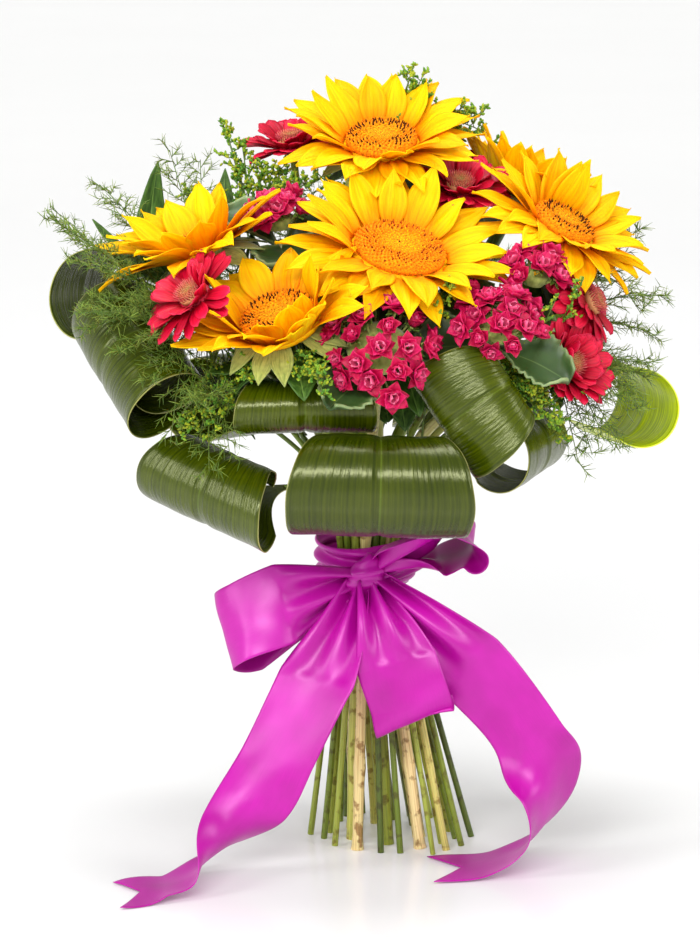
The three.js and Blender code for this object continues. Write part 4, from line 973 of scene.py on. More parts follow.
def disc_body(shape, head, radius, mound, tone):
    parts = [1 - ring / DISC_RINGS for ring in range(DISC_RINGS + 1)]
    outline = [(0, DISC_LOW), (radius, DISC_LOW)]
    outline += [(radius * part, mound_height(mound, part) - FLORET_FOOTING) for part in parts]
    turned_body(shape, head, outline, 28, tone)


# The spots of florets in crossing spirals: how far out as a part of the radius, and across x and y
def spiral_spots(count, radius):
    for i in range(count):
        part = math.sqrt((i + 0.5) / count)
        angle = i * GOLDEN_TURN
        yield i, part, radius * part * math.cos(angle), radius * part * math.sin(angle)


for seed, flower in enumerate(SUNFLOWERS):
    head = head_axes(flower["at"], flower["face"])
    shape = new_shape()
    disc_body(shape, head, flower["disc"], SUN_MOUND, 0.3 if flower["glow"] == 0 else 0.8)
    count = int(flower["disc"] ** 2 * SUN_FLORETS_PER_AREA)
    for i, part, x, y in spiral_spots(count, flower["disc"]):
        height = mound_height(SUN_MOUND, part)
        tall = (0.4 if part < 0.45 else 1.0) * (0.8 + 0.5 * draw(seed + 5, i))
        foot = on_head(head, x * 0.97, y * 0.97, height - 0.9)
        tip = on_head(head, x * (1 + 0.03 * part), y * (1 + 0.03 * part), height + tall)
        tone = flower["glow"] + min(0.35, part * 0.36 + 0.04 * spread_draw(seed + 9, i))
        clean = 0.55 if flower["glow"] == 0 else 0.8
        if 0.5 < part < 0.93 and draw(seed + 2, i) > clean:
            tone = flower["glow"] + DARK_SPECK
        small_cone(shape, foot, tip, SUN_FLORET, 5, max(0.0, tone))
    hand_over(flower["name"] + "_florets", shape, disc_finish,
              [flower["name"] + "_disc"])
    take(flower["name"] + "_disc")

for seed, flower in enumerate(GERBERAS):
    head = head_axes(flower["at"], flower["face"])
    shape = new_shape()
    disc_body(shape, head, GERBERA_DISC, GERBERA_MOUND, 0.3)
    for i, part, x, y in spiral_spots(GERBERA_STAMENS, GERBERA_DISC):
        height = mound_height(GERBERA_MOUND, part)
        tall = 0.9 + 3.0 * part ** 2 * (0.7 + 0.5 * draw(seed + 15, i))
        foot = on_head(head, x * 0.95, y * 0.95, height - 0.8)
        tip = on_head(head, x * (1 + 0.22 * part), y * (1 + 0.22 * part), height + tall)
        tone = min(1.0, part * 0.9 + 0.12 * spread_draw(seed, i))
        small_cone(shape, foot, tip, GERBERA_STAMEN, 4, tone)
    hand_over(flower["name"] + "_stamens", shape, stamen_finish,
              [flower["name"] + "_disc"])
    take(flower["name"] + "_disc")


# Stalks and cups: each head sits in a shallow green cup on a stout hairy stem.
# Sunflower cups have papery pointed sepals in two rows behind the petals.
CUP_TOP = -7.9
SUNFLOWER_CUP = 12
GERBERA_CUP = 10
SEPAL_LEVEL = -9.4
SEPAL_LENGTH = 31
SEPAL_WIDTH = 5.5
SEPALS_IN_A_ROW = 6
SECOND_ROW = {"length": 0.85, "rise": 0.8}
cup_finish, tree, shader = begin_finish("downy_green_cup", 0.75, Sheen_Weight=0.25)
down = mottle(tree, 420.0)
lines = streaks(tree, 18, 3)
leafy = ramp(tree, lines, [(0.3, (0.2, 0.27, 0.04)), (0.7, (0.46, 0.5, 0.12))])
paint(tree, shader, blend_colours(tree, "OVERLAY", 0.4, leafy, down))
raise_relief(tree, shader, lines, 0.5, 0.0006)


# The fine form of a petal or sepal: cupped, ribbed, waved at the edge, and pointed or notched
def fine_blade(shape, head, blade, lift, size, style, seed, tone):
    length = blade["length"] * size

    def place(u, v):
        notch = style["notch"] * math.exp(-(u / 0.35) ** 2) * v ** 6
        t = v * (1 - notch)
        point, flat, thick = blade_spine(head, blade, lift, length, t)
        wide = blade["width"] * style["profile"](v) * style["spread"]
        ridge = style["ridge"] * math.cos(u * style["ridges"] * math.pi) * (1 - u * u)
        ridge *= math.sin(math.pi * v)
        wave = style["wave"] * u * v * math.sin(v * 7 + seed * 3.1 + (2.0 if u > 0 else 0))
        cup = style["cup"] * blade["width"] * u * u * (1 - 0.5 * v)
        tip = style["hook"] * v ** 3 * math.sin(seed * 2.3 + 0.6)
        return point + flat * (u * wide) + thick * (ridge + wave + cup + tip)

    skin(shape, style["columns"], style["rows"], place, tone)


# The half widths of blades from the root, v = 0, to the tip, v = 1
def pointed(v):
    return blade_profile(v) * (1 - 0.55 * v ** 5) + 0.012


def rounded(v):
    widened = 0.42 + 0.58 * math.sin(math.pi * min(v, 0.72) / 1.44)
    return widened * math.sqrt(max(0, 1 - v ** 7)) + 0.02


SEPAL_STYLE = {"notch": 0, "profile": pointed, "spread": 1.3, "ridge": 0.2, "ridges": 4, "wave": 0.6,
               "cup": 0.15, "hook": 0.6, "columns": 6, "rows": 10}


# The stalk, the cup and the sepals of one flower, whose cup reaches so far below its head
def green_part(flower, radius, cup, seed, sepal_count):
    head = head_axes(flower["at"], flower["face"])
    disc = flower.get("disc", GERBERA_DISC)
    end = on_head(head, 0, 0, -cup - 2)
    shape = new_shape()
    whole_stem(shape, flower["spot"], radius, upper_curve(flower["spot"], end, head["n"]),
               end_radius=radius, sides=14, joints=0.25, tone=(seed * 0.37) % 1)
    hand_over(flower["name"] + "_stalk", shape, green_stem, [flower["name"] + "_stem"])
    outline = [(0, -cup - 4), (radius * 1.15, -cup - 3), (disc * 0.5, -cup - 1.2),
               (disc * 0.8, -cup + 0.6), (disc * 0.92, CUP_TOP - 1), (disc * 0.9, CUP_TOP), (0, CUP_TOP)]
    cup_shape = new_shape()
    turned_body(cup_shape, head, outline, 24, 0.4)
    hand_over(flower["name"] + "_cup", cup_shape, cup_finish)
    if not sepal_count:
        return
    sepal_shape = new_shape()
    for i in range(sepal_count * 2):
        own = i < sepal_count
        k = i if own else i + 100
        azimuth = (i / sepal_count + (0 if own else 0.5 / sepal_count)) * 2 * math.pi
        length = SEPAL_LENGTH * (0.85 + 0.3 * draw(seed, k + 20))
        blade = {"azimuth": azimuth + 0.2 * spread_draw(seed, k),
                 "length": length * (1 if own else SECOND_ROW["length"]), "width": SEPAL_WIDTH,
                 "thickness": 1.2, "droop": -0.5, "twist": 0.3 * spread_draw(seed, k + 40), "curl": 0,
                 "root": disc - 6, "base": SEPAL_LEVEL + (0 if own else SECOND_ROW["rise"]),
                 "lift": -0.14, "steps": 2}
        found = clear_blade(head, blade)
        if found:
            fine_blade(sepal_shape, head, blade, *found, SEPAL_STYLE, i, draw(seed, i + 7))
    hand_over(flower["name"] + "_sepals", sepal_shape, cup_finish,
              thickness=0.5, closed=False)


for index, flower in enumerate(GERBERAS):
    green_part(flower, GERBERA_STEM, GERBERA_CUP, index + 1, 0)
    take(flower["name"] + "_stem")
for index, flower in enumerate(SUNFLOWERS):
    green_part(flower, SUNFLOWER_STEM, SUNFLOWER_CUP, index + 7, SEPALS_IN_A_ROW)
    take(flower["name"] + "_stem")


# Kalanchoe: a fleshy stem with thick scalloped leaves under domes of small double florets.
# The leaves are grey-green with a paler edge, and the florets hot pink, with a painted highlight of paler
# pink on the inner petals and at the petal tips.
STEM_END = -3.5
LEAF_LEVEL = -4
FLESHY_WIDTH = 19
FLESHY_WALL = 1.5
FLESHY_BENDS = (0.2, 0.05, 0.35, -0.15, 0.5, -0.35, 0.7)
SECOND_TIER = 0.22
FLORET_CORE = 0.63

fleshy_finish, tree, shader = begin_finish("fleshy_leaf", 0.5, Coat_Weight=0.12, Coat_Roughness=0.35,
                                           Subsurface_Weight=0.12, Subsurface_Scale=0.003)
pale_edge = ramp(tree, uv_part(tree, "X"), [
    (0.0, (0.22, 0.3, 0.12)), (0.05, (0.09, 0.15, 0.045)), (0.14, (0.035, 0.08, 0.014)),
    (0.48, (0.03, 0.07, 0.012)), (0.5, (0.1, 0.17, 0.04)), (0.52, (0.03, 0.07, 0.012)),
    (0.86, (0.035, 0.08, 0.014)), (0.95, (0.09, 0.15, 0.045)), (1.0, (0.22, 0.3, 0.12))])
bloom = ramp(tree, mottle(tree, 60.0), [(0.35, (0.75, 0.8, 0.75)), (0.7, (1.35, 1.3, 1.3))])
paint(tree, shader, blend_colours(tree, "MULTIPLY", 0.8, pale_edge, bloom))
raise_relief(tree, shader, mottle(tree, 260.0), 0.25, 0.0006)

floret_finish, tree, shader = begin_finish("pink_florets", 0.5, Subsurface_Weight=0.1,
                                           Subsurface_Scale=0.0015, Specular_IOR_Level=0.35)
# Higher tones, given to the inner petals, are paler pink as a painted highlight; along each petal the colour
# is darker at the root and painted paler at the tip as a highlight.
pink = ramp(tree, tone_of(tree), [(0.0, (0.1, 0.2, 0.02)), (0.1, (0.14, 0.24, 0.03)),
                                  (0.14, (0.4, 0.0, 0.04)), (0.45, (0.6, 0.0, 0.07)),
                                  (0.75, (0.72, 0.006, 0.12)), (1.0, (0.82, 0.1, 0.24))])
dark_root_to_painted_highlight_tip = ramp(tree, uv_part(tree, "Y"), [(0.0, (0.45, 0.3, 0.35)), (0.5, (1, 1, 1)),
                                             (0.9, (1.1, 1.1, 1.1)), (1.0, (1.2, 3.0, 1.8))])
pink_with_painted_highlight = blend_colours(tree, "MULTIPLY", 0.6, pink, dark_root_to_painted_highlight_tip)
paint(tree, shader, blend_colours(tree, "MULTIPLY", 0.35, pink_with_painted_highlight, streaks(tree, 12, 2)))
raise_relief(tree, shader, streaks(tree, 14, 2), 0.3, 0.0003)


# A fleshy leaf as a plain test shape and as the fine one, from the same middle line
def fleshy_place(base, azimuth, length, width, lift, seed, fine):
    radial = base["u"] * math.cos(azimuth) + base["v"] * math.sin(azimuth)
    sideways = base["n"].cross(radial)

    def place(u, v):
        half = width * (0.08 + 0.92 * math.sin(math.pi * 0.94 * v ** 1.3) ** 1.1)
        wave = 2.4 * abs(u) * v * math.cos(v * 5 * math.pi + seed)
        slope = lift - 0.5 * v / 2
        scallop = 1 + (0.07 * math.cos(v * 9 * 2 * math.pi) * abs(u) ** 3 if fine else 0)
        dish = 3 * u * u + wave
        if fine:
            dish += (1.4 + 4 * abs(u) ** 3) * min(1, v * 2) - 0.2 * math.exp(-(u / 0.12) ** 2)
        point = base["at"] + radial * (3 + length * v * math.cos(slope))
        point += base["n"] * (length * v * math.sin(slope) + dish)
        return point + sideways * (u * half * scallop)

    return place


# The points and faces of a plain grid on the same surface, for the test
def grid_test(place, columns, rows):
    points = [place(i / columns * 2 - 1, j / rows) for j in range(rows + 1) for i in range(columns + 1)]
    faces = []
    for j in range(rows):
        for i in range(columns):
            a = j * (columns + 1) + i
            faces += [(a, a + 1, a + columns + 2), (a, a + columns + 2, a + columns + 1)]
    return points, faces


def fleshy_stem(plant, seed):
    lobe = plant["lobes"][0]
    base = head_axes(lobe["at"], lobe["face"])
    base["at"] = on_head(base, 0, 0, STEM_END)
    stem_shape = new_shape()
    curve = upper_curve(plant["spot"], base["at"], base["n"])
    whole_stem(stem_shape, plant["spot"], KALANCHOE_STEM, curve, end_radius=KALANCHOE_STEM, sides=14,
               joints=0.9, tone=0.4 + 0.3 * (seed % 3))
    base["at"] = on_head(base, 0, 0, LEAF_LEVEL)
    for side_lobe in plant["lobes"][1:]:
        goal = head_axes(side_lobe["at"], side_lobe["face"])
        end = on_head(goal, 0, 0, STEM_END)
        line = (end - base["at"]).normalized()
        tube(stem_shape, 10, 6, centre=lambda t: (base["at"].lerp(end, t), line),
             radius=lambda t: 1.7 - 0.3 * t)
    hand_over(plant["name"] + "_stalk", stem_shape, woody_stem)
    leaf_shape = new_shape()
    for i in range(plant["leaves"]):
        azimuth = plant["turn"] + i / plant["leaves"] * 2 * math.pi
        tier = 0 if i % 2 == 0 else SECOND_TIER
        for bend in FLESHY_BENDS:
            length = plant["leaf_length"] + 8 * draw(seed, i)
            rough = fleshy_place(base, azimuth, length, FLESHY_WIDTH, bend + tier, i, False)
            if is_clear(*grid_test(rough, 2, 4)):
                fine = fleshy_place(base, azimuth, length, FLESHY_WIDTH, bend + tier, i, True)
                skin(leaf_shape, columns=16, rows=30, place=fine)
                break
    hand_over(plant["name"] + "_foliage", leaf_shape, fleshy_finish,
              [plant["name"] + "_leaves"], thickness=FLESHY_WALL, closed=False)


# One double floret about a point, one unit in reach: open outer petals, upright ones, a curled heart
# and a green calyx
# The tone column makes the inner rings paler pink, a painted highlight inside the floret's cup.
FLORET_RINGS = table(
    "count reach lift droop base tone wide",
    (6, 1.0, 0.62, -0.7, 0.1, 0.4, 0.44),
    (5, 0.9, 0.8, 0.1, 0.16, 0.6, 0.42),
    (4, 0.72, 0.95, 0.7, 0.2, 0.92, 0.38),
    (5, 0.5, -0.2, 0.5, -0.05, 0.04, 0.12))
CALYX_RING = 3
FLORET_STYLE = {"notch": 0, "profile": pointed, "spread": 1, "ridge": 0.03, "ridges": 1, "wave": 0.06,
                "cup": 0.5, "hook": 0.08, "columns": 4, "rows": 5}
PALEST_GREEN = 0.16


def floret_template(name, key, opened):
    shape = new_shape()
    head = head_axes((0, 0, 0), (0, 0, 1))
    for ring, style in enumerate(FLORET_RINGS):
        for i in range(style["count"]):
            own = ring + key
            lift = style["lift"] + (1 - opened) * (0.9 if ring < 2 else 0.3)
            around = (i + ring * 0.5) / style["count"] * 2 * math.pi
            blade = {"azimuth": around + 0.25 * spread_draw(own, i),
                     "length": style["reach"] * (0.85 + 0.25 * draw(own, i + 3)), "width": style["wide"],
                     "droop": style["droop"], "twist": 0.35 * spread_draw(own, i + 8),
                     "root": 0.1, "base": style["base"]}
            tone = style["tone"]
            if ring != CALYX_RING:
                tone = max(PALEST_GREEN, tone + 0.15 * spread_draw(own, i + 9))
            fine_blade(shape, head, blade, lift + 0.12 * spread_draw(own, i + 5), 1, FLORET_STYLE,
                       i + key, tone)
    bmesh.ops.remove_doubles(shape, verts=shape.verts, dist=1e-5)
    return as_mesh(name, shape)


floret_kinds = [floret_template("open_floret", 1, 1.0), floret_template("wide_floret", 2, 1.2),
                floret_template("half_open_floret", 3, 0.6), floret_template("closed_floret", 4, 0.25)]
COMMON_KINDS = (0, 0, 1, 2, 3)


# Adds one more copy of a template to a shape, where the matrix puts it
def stamp(shape, template, matrix):
    copy = template.copy()
    copy.transform(matrix)
    shape.from_mesh(copy)
    bpy.data.meshes.remove(copy)


def turned_to(at, direction, spin, size):
    face = Vector((0, 0, 1)).rotation_difference(direction).to_matrix().to_4x4()
    return Matrix.Translation(at) @ face @ Matrix.Rotation(spin, 4, "Z") @ Matrix.Scale(size, 4)


# A leaning way, from three draws with the same seed
def drawn_way(seed, first, second, third, rise=0.0):
    return Vector((spread_draw(seed, first), spread_draw(seed, second), spread_draw(seed, third) + rise))


# The florets of a head, each on its pedicel, round a dark heart that fills the dome from inside
def floret_dome(plant, seed):
    shape = new_shape()
    twigs = new_shape()
    for order, lobe in enumerate(plant["lobes"]):
        head = head_axes(lobe["at"], lobe["face"])
        count = round(lobe["count"] * 1.15)
        for i in range(count):
            polar = (lobe["spread"] + 0.08) * math.sqrt((i + 0.4) / count) + 0.05 * spread_draw(seed + 7, i)
            angle = i * GOLDEN_TURN
            direction = head["u"] * (math.sin(polar) * math.cos(angle))
            direction += head["v"] * (math.sin(polar) * math.sin(angle))
            direction += head["n"] * math.cos(polar)
            reach = lobe["dome"] * (0.86 + 0.18 * draw(order + 3, i))
            size = 9.0 + 1.8 * draw(order + 5, i)
            at = head["at"] + direction * (reach - 4)
            # Two low pyramids back to back stand for the floret in the test
            ball, faces = [at + direction * 3, at - direction * 8], [(0, 2, 3), (0, 3, 4), (0, 4, 2)]
            side = direction.orthogonal().normalized() * (size * 0.8)
            other = direction.cross(side)
            ball += [at + side, at - side * 0.5 + other * 0.87, at - side * 0.5 - other * 0.87]
            faces += [(1, 3, 2), (1, 4, 3), (1, 2, 4)]
            if not is_clear(ball, faces):
                size *= 0.75
                at -= direction * 4
            kind = floret_kinds[COMMON_KINDS[int(draw(seed, i) * 4.99)]]
            lean = drawn_way(seed, i + 40, i + 50, i + 60) * 0.3
            spin = draw(seed + 1, i) * 6.3
            stamp(shape, kind, turned_to(at, (direction + lean).normalized(), spin, size))
            root = head["at"] + direction * (reach * 0.35)
            line = (at - root).normalized()
            tube(twigs, 5, 2, centre=lambda t: (root.lerp(at + direction, t), line),
                 radius=lambda t: 0.5 + 0.7 * t ** 2, tone=0.4)
        edge = FLORET_CORE * lobe["dome"]

        def heart(u, v, edge=edge, head=head, lobe=lobe):
            polar = lobe["spread"] * 1.05 * (1 - v)
            reach = math.sin(polar)
            out = on_head(head, reach * math.cos(math.pi * u), reach * math.sin(math.pi * u),
                          math.cos(polar)) - head["at"]
            return head["at"] + out * edge * (0.55 + 0.4 * min(1, v * 4))

        closed_skin(twigs, columns=20, rows=8, place=heart, tone=0.3)
    hand_over(plant["name"] + "_blossom", shape, floret_finish, [plant["name"] + "_florets"],
              thickness=0.25, closed=False)
    hand_over(plant["name"] + "_pedicels", twigs, cup_finish, closed=False)


for seed, plant in enumerate(KALANCHOES):
    fleshy_stem(plant, seed + 1)
    take(plant["name"] + "_leaves")
for seed, plant in enumerate(KALANCHOES):
    floret_dome(plant, seed + 1)
    take(plant["name"] + "_florets")


# Petals: the rays of the sunflowers and the mini gerberas, set in two or three rows.
# Sunflower rays are pointed and ridged, orange at the root, and gerbera rays narrow with a notch.
# A ring of rays sits on a thin plate of the petals' own colour, between the disc and the cup.
PETAL_ROOT = 1.4
PETAL_WALL = 0.4
SHORTEST_SECOND = 0.7
PLATE_OVERHANG = 2.6
PLATE_LOW = -7.4
PLATE_RIM = -5.8
PLATE_TOP = -4.3


# Colour runs from a petal's root to its tip, with painted shade in the grooves between the ridges along it,
# and no two petals have one warmth
def petal_finish(name, roughness, values, along, ridges, groove_shade_tones, warmth, amounts, depth):
    finish, tree, shader = begin_finish(name, roughness, **values)
    grain = streaks(tree, *ridges)
    groove_shaded = blend_colours(tree, "MULTIPLY", amounts[0], ramp(tree, uv_part(tree, "Y"), along),
                           ramp(tree, grain, groove_shade_tones))
    paint(tree, shader, blend_colours(tree, "MULTIPLY", amounts[1], groove_shaded,
                                      ramp(tree, tone_of(tree), warmth)))
    raise_relief(tree, shader, grain, 0.4, depth)
    return finish


ray_finish = petal_finish(
    "sunflower_rays", 0.62,
    {"Subsurface_Weight": 0.2, "Subsurface_Scale": 0.0015, "Specular_IOR_Level": 0.1},
    along=[(0.0, (0.8, 0.22, 0.0)), (0.14, (0.86, 0.35, 0.0)), (0.4, (0.9, 0.5, 0.0)),
           (1.0, (0.9, 0.54, 0.0))],
    # Darker orange in the grooves is painted shade in the petal's folds
    ridges=(13, 1.2, 2.0), groove_shade_tones=[(0.34, (0.98, 0.66, 0.3)), (0.54, (1.0, 1.04, 1.0))],
    warmth=[(0.0, (1.0, 0.78, 0.5)), (0.5, (1, 1, 1)), (1.0, (1.0, 1.06, 1.2))],
    amounts=(0.75, 0.8), depth=0.0006)
crimson_finish = petal_finish(
    "gerbera_rays", 0.5,
    {"Subsurface_Weight": 0.1, "Subsurface_Scale": 0.0012, "Specular_IOR_Level": 0.3},
    along=[(0.0, (0.3, 0.0, 0.005)), (0.35, (0.5, 0.0, 0.02)), (0.85, (0.62, 0.001, 0.035)),
           (1.0, (0.7, 0.015, 0.07))],
    # Darker crimson in the grooves is painted shade between the ridges
    ridges=(9, 0.8, 1.0), groove_shade_tones=[(0.35, (0.6, 0.35, 0.5)), (0.58, (1.1, 1.2, 1.15))],
    warmth=[(0.0, (0.7, 0.6, 0.7)), (0.5, (1, 1, 1)), (1.0, (1.25, 1.3, 1.2))],
    amounts=(0.7, 0.7), depth=0.0005)

RAY_STYLE = {"notch": 0, "profile": pointed, "spread": 1.18, "ridge": 0.7, "ridges": 2.4, "wave": 1.5,
             "cup": 0.18, "hook": 3.4, "columns": 12, "rows": 14}
GERBERA_STYLE = {"notch": 0.06, "profile": rounded, "spread": 1.1, "ridge": 0.18, "ridges": 2, "wave": 0.5,
                 "cup": 0.22, "hook": -0.8, "columns": 6, "rows": 9}
SUN_RAYS = {"width": 8.2, "thickness": 1.4, "droop": -0.55, "style": RAY_STYLE, "copies": 2,
            "layers": table("count reach base lift steps", (11, 1, -6.6, 0, 3), (7, 0.86, -4.9, 0.42, 2))}
GERBERA_RAYS = {"width": 4.4, "thickness": 1.2, "droop": -0.35, "style": GERBERA_STYLE, "copies": 3,
                "layers": table("count reach base lift steps", (10, 1, -6.6, 0, 2), (5, 0.7, -4.9, 0.5, 2))}


# The rays of the solids come first, and then finer copies between them where there is room
def ray_ring(flower, seed, rays, disc, finish):
    head = head_axes(flower["at"], flower["face"])
    shape = new_shape()
    extra, side = flower.get("extra", 0), flower.get("side", 0)
    for order, layer in enumerate(rays["layers"]):
        key = seed + order * 7
        for copy in range(rays["copies"]):
            for i in range(layer["count"]):
                k = i + copy * 300
                step = (i + 0.5 * order + copy / rays["copies"]) / layer["count"]
                azimuth = step * 2 * math.pi + 0.08 * spread_draw(key, k)
                blade = {
                    "azimuth": azimuth,
                    "length": flower["petal"] * layer["reach"] * (0.9 + 0.2 * draw(key, k + 30)),
                    "width": rays["width"] * (0.9 + 0.2 * draw(key, k + 60)),
                    "thickness": rays["thickness"],
                    "droop": rays["droop"] * (0.7 + 0.6 * draw(key, k + 90)),
                    "twist": 0.3 * spread_draw(key, k + 120), "curl": 0.04, "root": disc + PETAL_ROOT,
                    "base": layer["base"] + (i % 2) * 0.6 + 0.4 * copy,
                    "lift": flower["lift"] + layer["lift"] + extra * math.cos(azimuth - side)
                    + (i % 2) * 0.16 + 0.05 * spread_draw(key, k + 150) + copy * 0.12,
                    "steps": layer["steps"],
                }
                found = clear_blade(head, blade)
                if not found or (copy and found[1] < SHORTEST_SECOND):
                    continue
                if copy:
                    blade["length"] *= 0.93
                fine_blade(shape, head, blade, *found, rays["style"], i + seed, draw(key, k + 210))
    hand_over(flower["name"] + "_rays", shape, finish, [flower["name"] + "_petals"],
              thickness=PETAL_WALL, closed=False)
    outer = disc + PLATE_OVERHANG
    outline = [(0, PLATE_LOW), (outer, PLATE_LOW), (outer + 0.3, PLATE_RIM), (outer, PLATE_TOP),
               (0, PLATE_TOP)]
    plate = new_shape()
    turned_body(plate, head, outline, 24, 0.2)
    hand_over(flower["name"] + "_ray_base", plate, finish)


for index, flower in enumerate(SUNFLOWERS):
    ray_ring(flower, index + 1, SUN_RAYS, flower["disc"], ray_finish)
    take(flower["name"] + "_petals")
for index, flower in enumerate(GERBERAS):
    ray_ring(flower, index + 7, GERBERA_RAYS, GERBERA_DISC, crimson_finish)
    take(flower["name"] + "_petals")


# Goldenrod: wiry stems that fork into twigs, each crowded with small unopened buds.
# The buds are yellow-green and stand close, all round the upper half of a twig.
TWIG_BOW = 6.0
FORK_SPREAD = 0.05
SPRIG_LENGTH = 40.0
SIDE_TWIGS = 18
TWIG_BUDS = 7
TRIED_ROOTS = (1, 0.85, 0.7, 0.5, 0.3, 0.12)
TRIED_BOWS = (6, 16, -6, 28, -16, 40)

bud_finish = grainy_finish("goldenrod_buds", 0.7, 0.1, [
    (0.0, (0.05, 0.2, 0.006)), (0.5, (0.16, 0.38, 0.01)), (1.0, (0.52, 0.56, 0.01))],
    speckle=500.0, amount=0.5, grain=900.0, relief=0.4)


def bud_template(name, tone):
    shape = new_shape()
    made = bmesh.ops.create_icosphere(shape, subdivisions=1, radius=1.0)["verts"]
    tones = shape.verts.layers.float["tone"]
    for vert in made:
        narrow = 0.62 - 0.16 * vert.co.z
        vert.co = Vector((vert.co.x * narrow, vert.co.y * narrow, vert.co.z * 1.1 + 0.9))
        vert[tones] = tone
    return as_mesh(name, shape)


bud_kinds = [bud_template("green_bud", 0.2), bud_template("ripe_bud", 0.6),
             bud_template("yellow_bud", 0.9)]


def twig_point(start, tip, bow, t):
    return start.lerp(tip, t) + Vector((0, 0, bow * 4 * t * (1 - t)))


def twig_test(start, tip, radius, bow, steps=2):
    line = (tip - start).normalized()
    side = line.orthogonal().normalized()
    other = side.cross(line)
    points = []
    for ring in range(steps + 1):
        middle = twig_point(start, tip, bow, ring / steps)
        for k in range(3):
            turn = k * 2 * math.pi / 3
            points.append(middle + (side * math.cos(turn) + other * math.sin(turn)) * radius)
    return points, tube_faces(steps)


# The branches that the solids have keep their places, and finer ones take the first clear way out
def branches(spray, curve, radius):
    ways = []
    for order, tip in enumerate(spray["tips"]):
        start = bezier(curve, 1 - FORK_SPREAD * order)
        if is_clear(*twig_test(start, Vector(tip), radius, TWIG_BOW)):
            ways.append((start, Vector(tip), TWIG_BOW, 1.0))
    for tip in spray["more"]:
        for part, bow in itertools.product(TRIED_ROOTS, TRIED_BOWS):
            start = bezier(curve, part)
            if is_clear(*twig_test(start, Vector(tip), 0.5, bow, 5)):
                ways.append((start, Vector(tip), bow, 0.7))
                break
    return ways


# A twig that thins from its first to its last radius
def twig(shape, start, tip, first, last, bow, sides, rows):
    def centre(t):
        here = twig_point(start, tip, bow, t)
        return here, (twig_point(start, tip, bow, t + 0.02) - here).normalized()

    tube(shape, sides, rows, centre, lambda t: first + (last - first) * t, tone=0.3)


def goldenrod(spray, seed):
    curve = upper_curve(spray["spot"], Vector(spray["fork"]), Vector((0, 0, 1)))
    stem_shape = new_shape()
    whole_stem(stem_shape, spray["spot"], FILLER_STEM, curve, end_radius=1.3, sides=8, tone=0.3 * seed)
    shape = new_shape()
    for order, (start, tip, bow, stout) in enumerate(branches(spray, curve, 1.0)):
        twig(stem_shape, start, tip, stout, 0.4 * stout, bow, sides=6, rows=10)
        key = seed + order * 11
        bare = max(0.3, 1 - SPRIG_LENGTH / (tip - start).length)
        for i in range(SIDE_TWIGS):
            t = bare + (0.99 - bare) * i / (SIDE_TWIGS - 1)
            on = twig_point(start, tip, bow, t)
            off = drawn_way(key, i, i + 20, i + 40, 0.3).normalized()
            off = (off + (tip - start).normalized() * 0.5).normalized()
            reach = (10 if i % 3 else 14) * (1.1 - 0.6 * (t - bare) / (1 - bare))
            end = on + off * reach
            if not is_clear(*twig_test(on, end, 0.8, 0)):
                continue
            twig(stem_shape, on, end, 0.3, 0.2, 0, sides=4, rows=2)
            for k in range(TWIG_BUDS):
                s = 0.3 + 0.7 * k / (TWIG_BUDS - 1)
                lean = drawn_way(key + k, i + 60, i + 80, i + 99, 0.4).normalized()
                kind = bud_kinds[int(draw(key + k, i + 120) * 2.99)]
                size = 1.1 + 0.5 * draw(key + k, i + 140)
                stamp(shape, kind, turned_to(on.lerp(end, s), (lean + off * 0.6).normalized(), 0, size))
    hand_over(spray["name"] + "_stalk", stem_shape, fine_stem)
    hand_over(spray["name"] + "_buds", shape, bud_finish, [spray["name"]],
              closed=False)


for index, spray in enumerate(GOLDENRODS):
    goldenrod(spray, index + 1)
    take(spray["name"])


# Asparagus fern: thin arching branches with side sprays of soft needles.
# It fills the gaps at the edge of the bunch and stands furthest out.
# A branch carries side sprays by turns to the left and right, which grow shorter towards its tip.
FROND_LENGTH = 75.0
SIDE_SPRAYS = 20
SPRAY_LENGTH = 21
SPRAY_NEEDLES = 11
NEEDLE_LENGTH = 5.5

needle_finish = grainy_finish("fern_needles", 0.6, 0.08, [
    (0.0, (0.06, 0.13, 0.008)), (0.6, (0.16, 0.28, 0.018)), (1.0, (0.32, 0.42, 0.05))],
    speckle=300.0, amount=0.4, grain=800.0, relief=0.3)


def needle_template(name, tone):
    shape = new_shape()
    small_cone(shape, Vector((0, 0, 0)), Vector((0, 0, 1)), 0.05, 3, tone)
    return as_mesh(name, shape)


needle_kinds = [needle_template("dark_needle", 0.3), needle_template("pale_needle", 0.8)]


